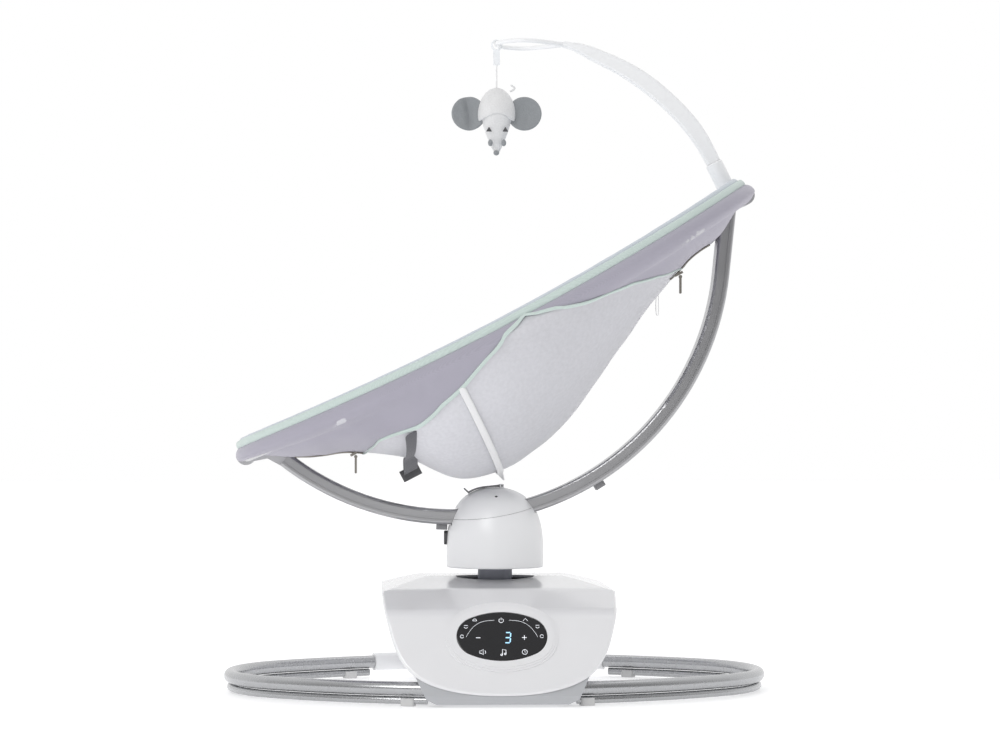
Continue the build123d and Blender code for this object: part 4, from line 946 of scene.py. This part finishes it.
# ---------------------------------------------------------------- control panel
FACE_TILT = radians(27)
PANEL_Z, HOUSING_Y, HOUSING_FOOT = 0.077, 0.208, 0.013
FACE_Y = -HOUSING_Y + (PANEL_Z - HOUSING_FOOT) * sin(FACE_TILT) / cos(FACE_TILT)
LENS_TOP = 0.0018


def face_point(u, v, lift=0.0):
    """Point on the panel's leaning face: u to the head end, v up the face, in millimetres."""
    out = Vector((0, -cos(FACE_TILT), sin(FACE_TILT)))
    up = Vector((0, sin(FACE_TILT), cos(FACE_TILT)))
    return Vector((0, FACE_Y, PANEL_Z)) + Vector((u * MM, 0, 0)) + up * v * MM + out * (LENS_TOP + lift)


def arc_line(u, v, radius, start, stop, count=16):
    """Points of an arc on the face, angles in degrees."""
    turns = [radians(a) for a in spread(start, stop, count)]
    return [(u + radius * cos(a), v + radius * sin(a)) for a in turns]


def icon_lines():
    """Strokes of the panel's generic signs, each with its width, in face millimetres."""
    lines = []
    lines.append((arc_line(-0.5, 19.6, 2.6, 125, 415), 0.55))
    lines.append(([(-0.5, 20.0), (-0.5, 23.0)], 0.55))
    sway_arc = [(u, 20.4 - 21.5 * (u / 41.0) ** 4 - 0.5) for u in spread(-40.5, 40.5, 49)]
    lines.append((sway_arc[:20], 0.28))
    lines.append((sway_arc[-20:], 0.28))
    for sign in (-1, 1):
        lines.append((arc_line(sign * 45.2, 0.2, 1.9, 20, 340), 0.5))
        lines.append((arc_line(sign * 40.6, 12.4, 2.1, 200, 340, 8), 0.5))
        lines.append(([(sign * 40.6 - 2.1, 13.6), (sign * 40.6 + 2.1, 13.6)], 0.5))
    lines.append((arc_line(-30.5, 19.4, 2.2, 0, 180, 9), 0.5))
    lines.append(([(-32.7, 19.2), (-28.3, 19.2)], 0.5))
    lines.append(([(24.4, 19.0), (27.0, 22.2), (29.6, 19.0)], 0.5))
    lines.append(([(-29.6, -1.4), (-24.4, -1.4)], 0.7))
    lines.append(([(22.8, -1.4), (28.0, -1.4)], 0.7))
    lines.append(([(25.4, -4.2), (25.4, 1.4)], 0.7))
    lines.append(([(-25.4, -20.4), (-25.4, -17.4), (-23.6, -17.4), (-21.6, -15.4), (-21.6, -22.4),
                   (-23.6, -20.4), (-25.4, -20.4)], 0.5))
    lines.append((arc_line(-21.4, -18.9, 2.6, -45, 45, 8), 0.5))
    lines.append(([(0.2, -22.2), (0.2, -15.6), (4.2, -16.6), (4.2, -21.0)], 0.6))
    lines.append((arc_line(-0.8, -22.2, 1.0, 0, 350, 10), 0.7))
    lines.append((arc_line(3.2, -21.2, 1.0, 0, 350, 10), 0.7))
    lines.append((arc_line(25.4, -18.9, 2.9, 0, 359, 22), 0.5))
    lines.append(([(25.4, -16.8), (25.4, -19.0), (27.0, -19.0)], 0.45))
    return lines


def stroke(points, width):
    """Corners of a flat stroke of even width on the face, as pairs on its two sides."""
    pairs = []
    for i, (u, v) in enumerate(points):
        u0, v0 = points[max(i - 1, 0)]
        u1, v1 = points[min(i + 1, len(points) - 1)]
        size = sqrt((u1 - u0) ** 2 + (v1 - v0) ** 2) or 1.0
        side_u, side_v = -(v1 - v0) / size * width / 2, (u1 - u0) / size * width / 2
        pairs.append([face_point(u - side_u, v - side_v), face_point(u + side_u, v + side_v)])
    return pairs


def flat_strokes(name, lines, material):
    """One object of flat strokes, with a small thickness."""
    points, faces = [], []
    for line, width in lines:
        pairs = stroke(line, width)
        start = len(points)
        points += [corner for pair in pairs for corner in pair]
        faces += [tuple(start + k for k in face) for face in grid_faces(len(pairs), 2)]
    piece = mesh_object(name, points, faces)
    solid = piece.modifiers.new("thickness", "SOLIDIFY")
    solid.thickness = 0.0002
    piece.data.materials.append(material)
    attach(piece, "base")


def add_panel_signs():
    """White signs and a pale blue seven-segment figure behind the touch lens's surface."""
    white = surface("sign_white", (0.82, 0.84, 0.86), 0.4, Emission_Strength=0.55)
    white.node_tree.nodes["Principled BSDF"].inputs["Emission Color"].default_value = (0.9, 0.92, 1, 1)
    blue = surface("figure_blue", (0.35, 0.62, 0.85), 0.4, Emission_Strength=0.9)
    blue.node_tree.nodes["Principled BSDF"].inputs["Emission Color"].default_value = (0.4, 0.72, 1, 1)
    flat_strokes("panel_signs", icon_lines(), white)
    lean, half, height = 0.5, 3.0, 6.2
    figure = []
    for row in (-1, 0, 1):
        shift = 6.6 + lean * row
        v = -1.4 + row * height
        figure.append(([(shift - half + 0.6, v), (shift + half - 0.6, v)], 1.3))
    for row in (-1, 1):
        foot = (6.6 + half + lean * (row - 1) / 2, -1.4 + (row - 1) / 2 * height + 0.7)
        figure.append(([foot, (foot[0] + lean, foot[1] + height - 1.4)], 1.3))
    flat_strokes("panel_figure", figure, blue)


# ---------------------------------------------------------------- the swing
materials = make_materials()
add_stage()
paint_cad_nodes()
add_mesh_sling()
add_outer_panels()
add_rim_binding()
add_liner()
add_harness()
add_ribbon()
add_toy()
add_panel_signs()

bpy.context.view_layer.update()
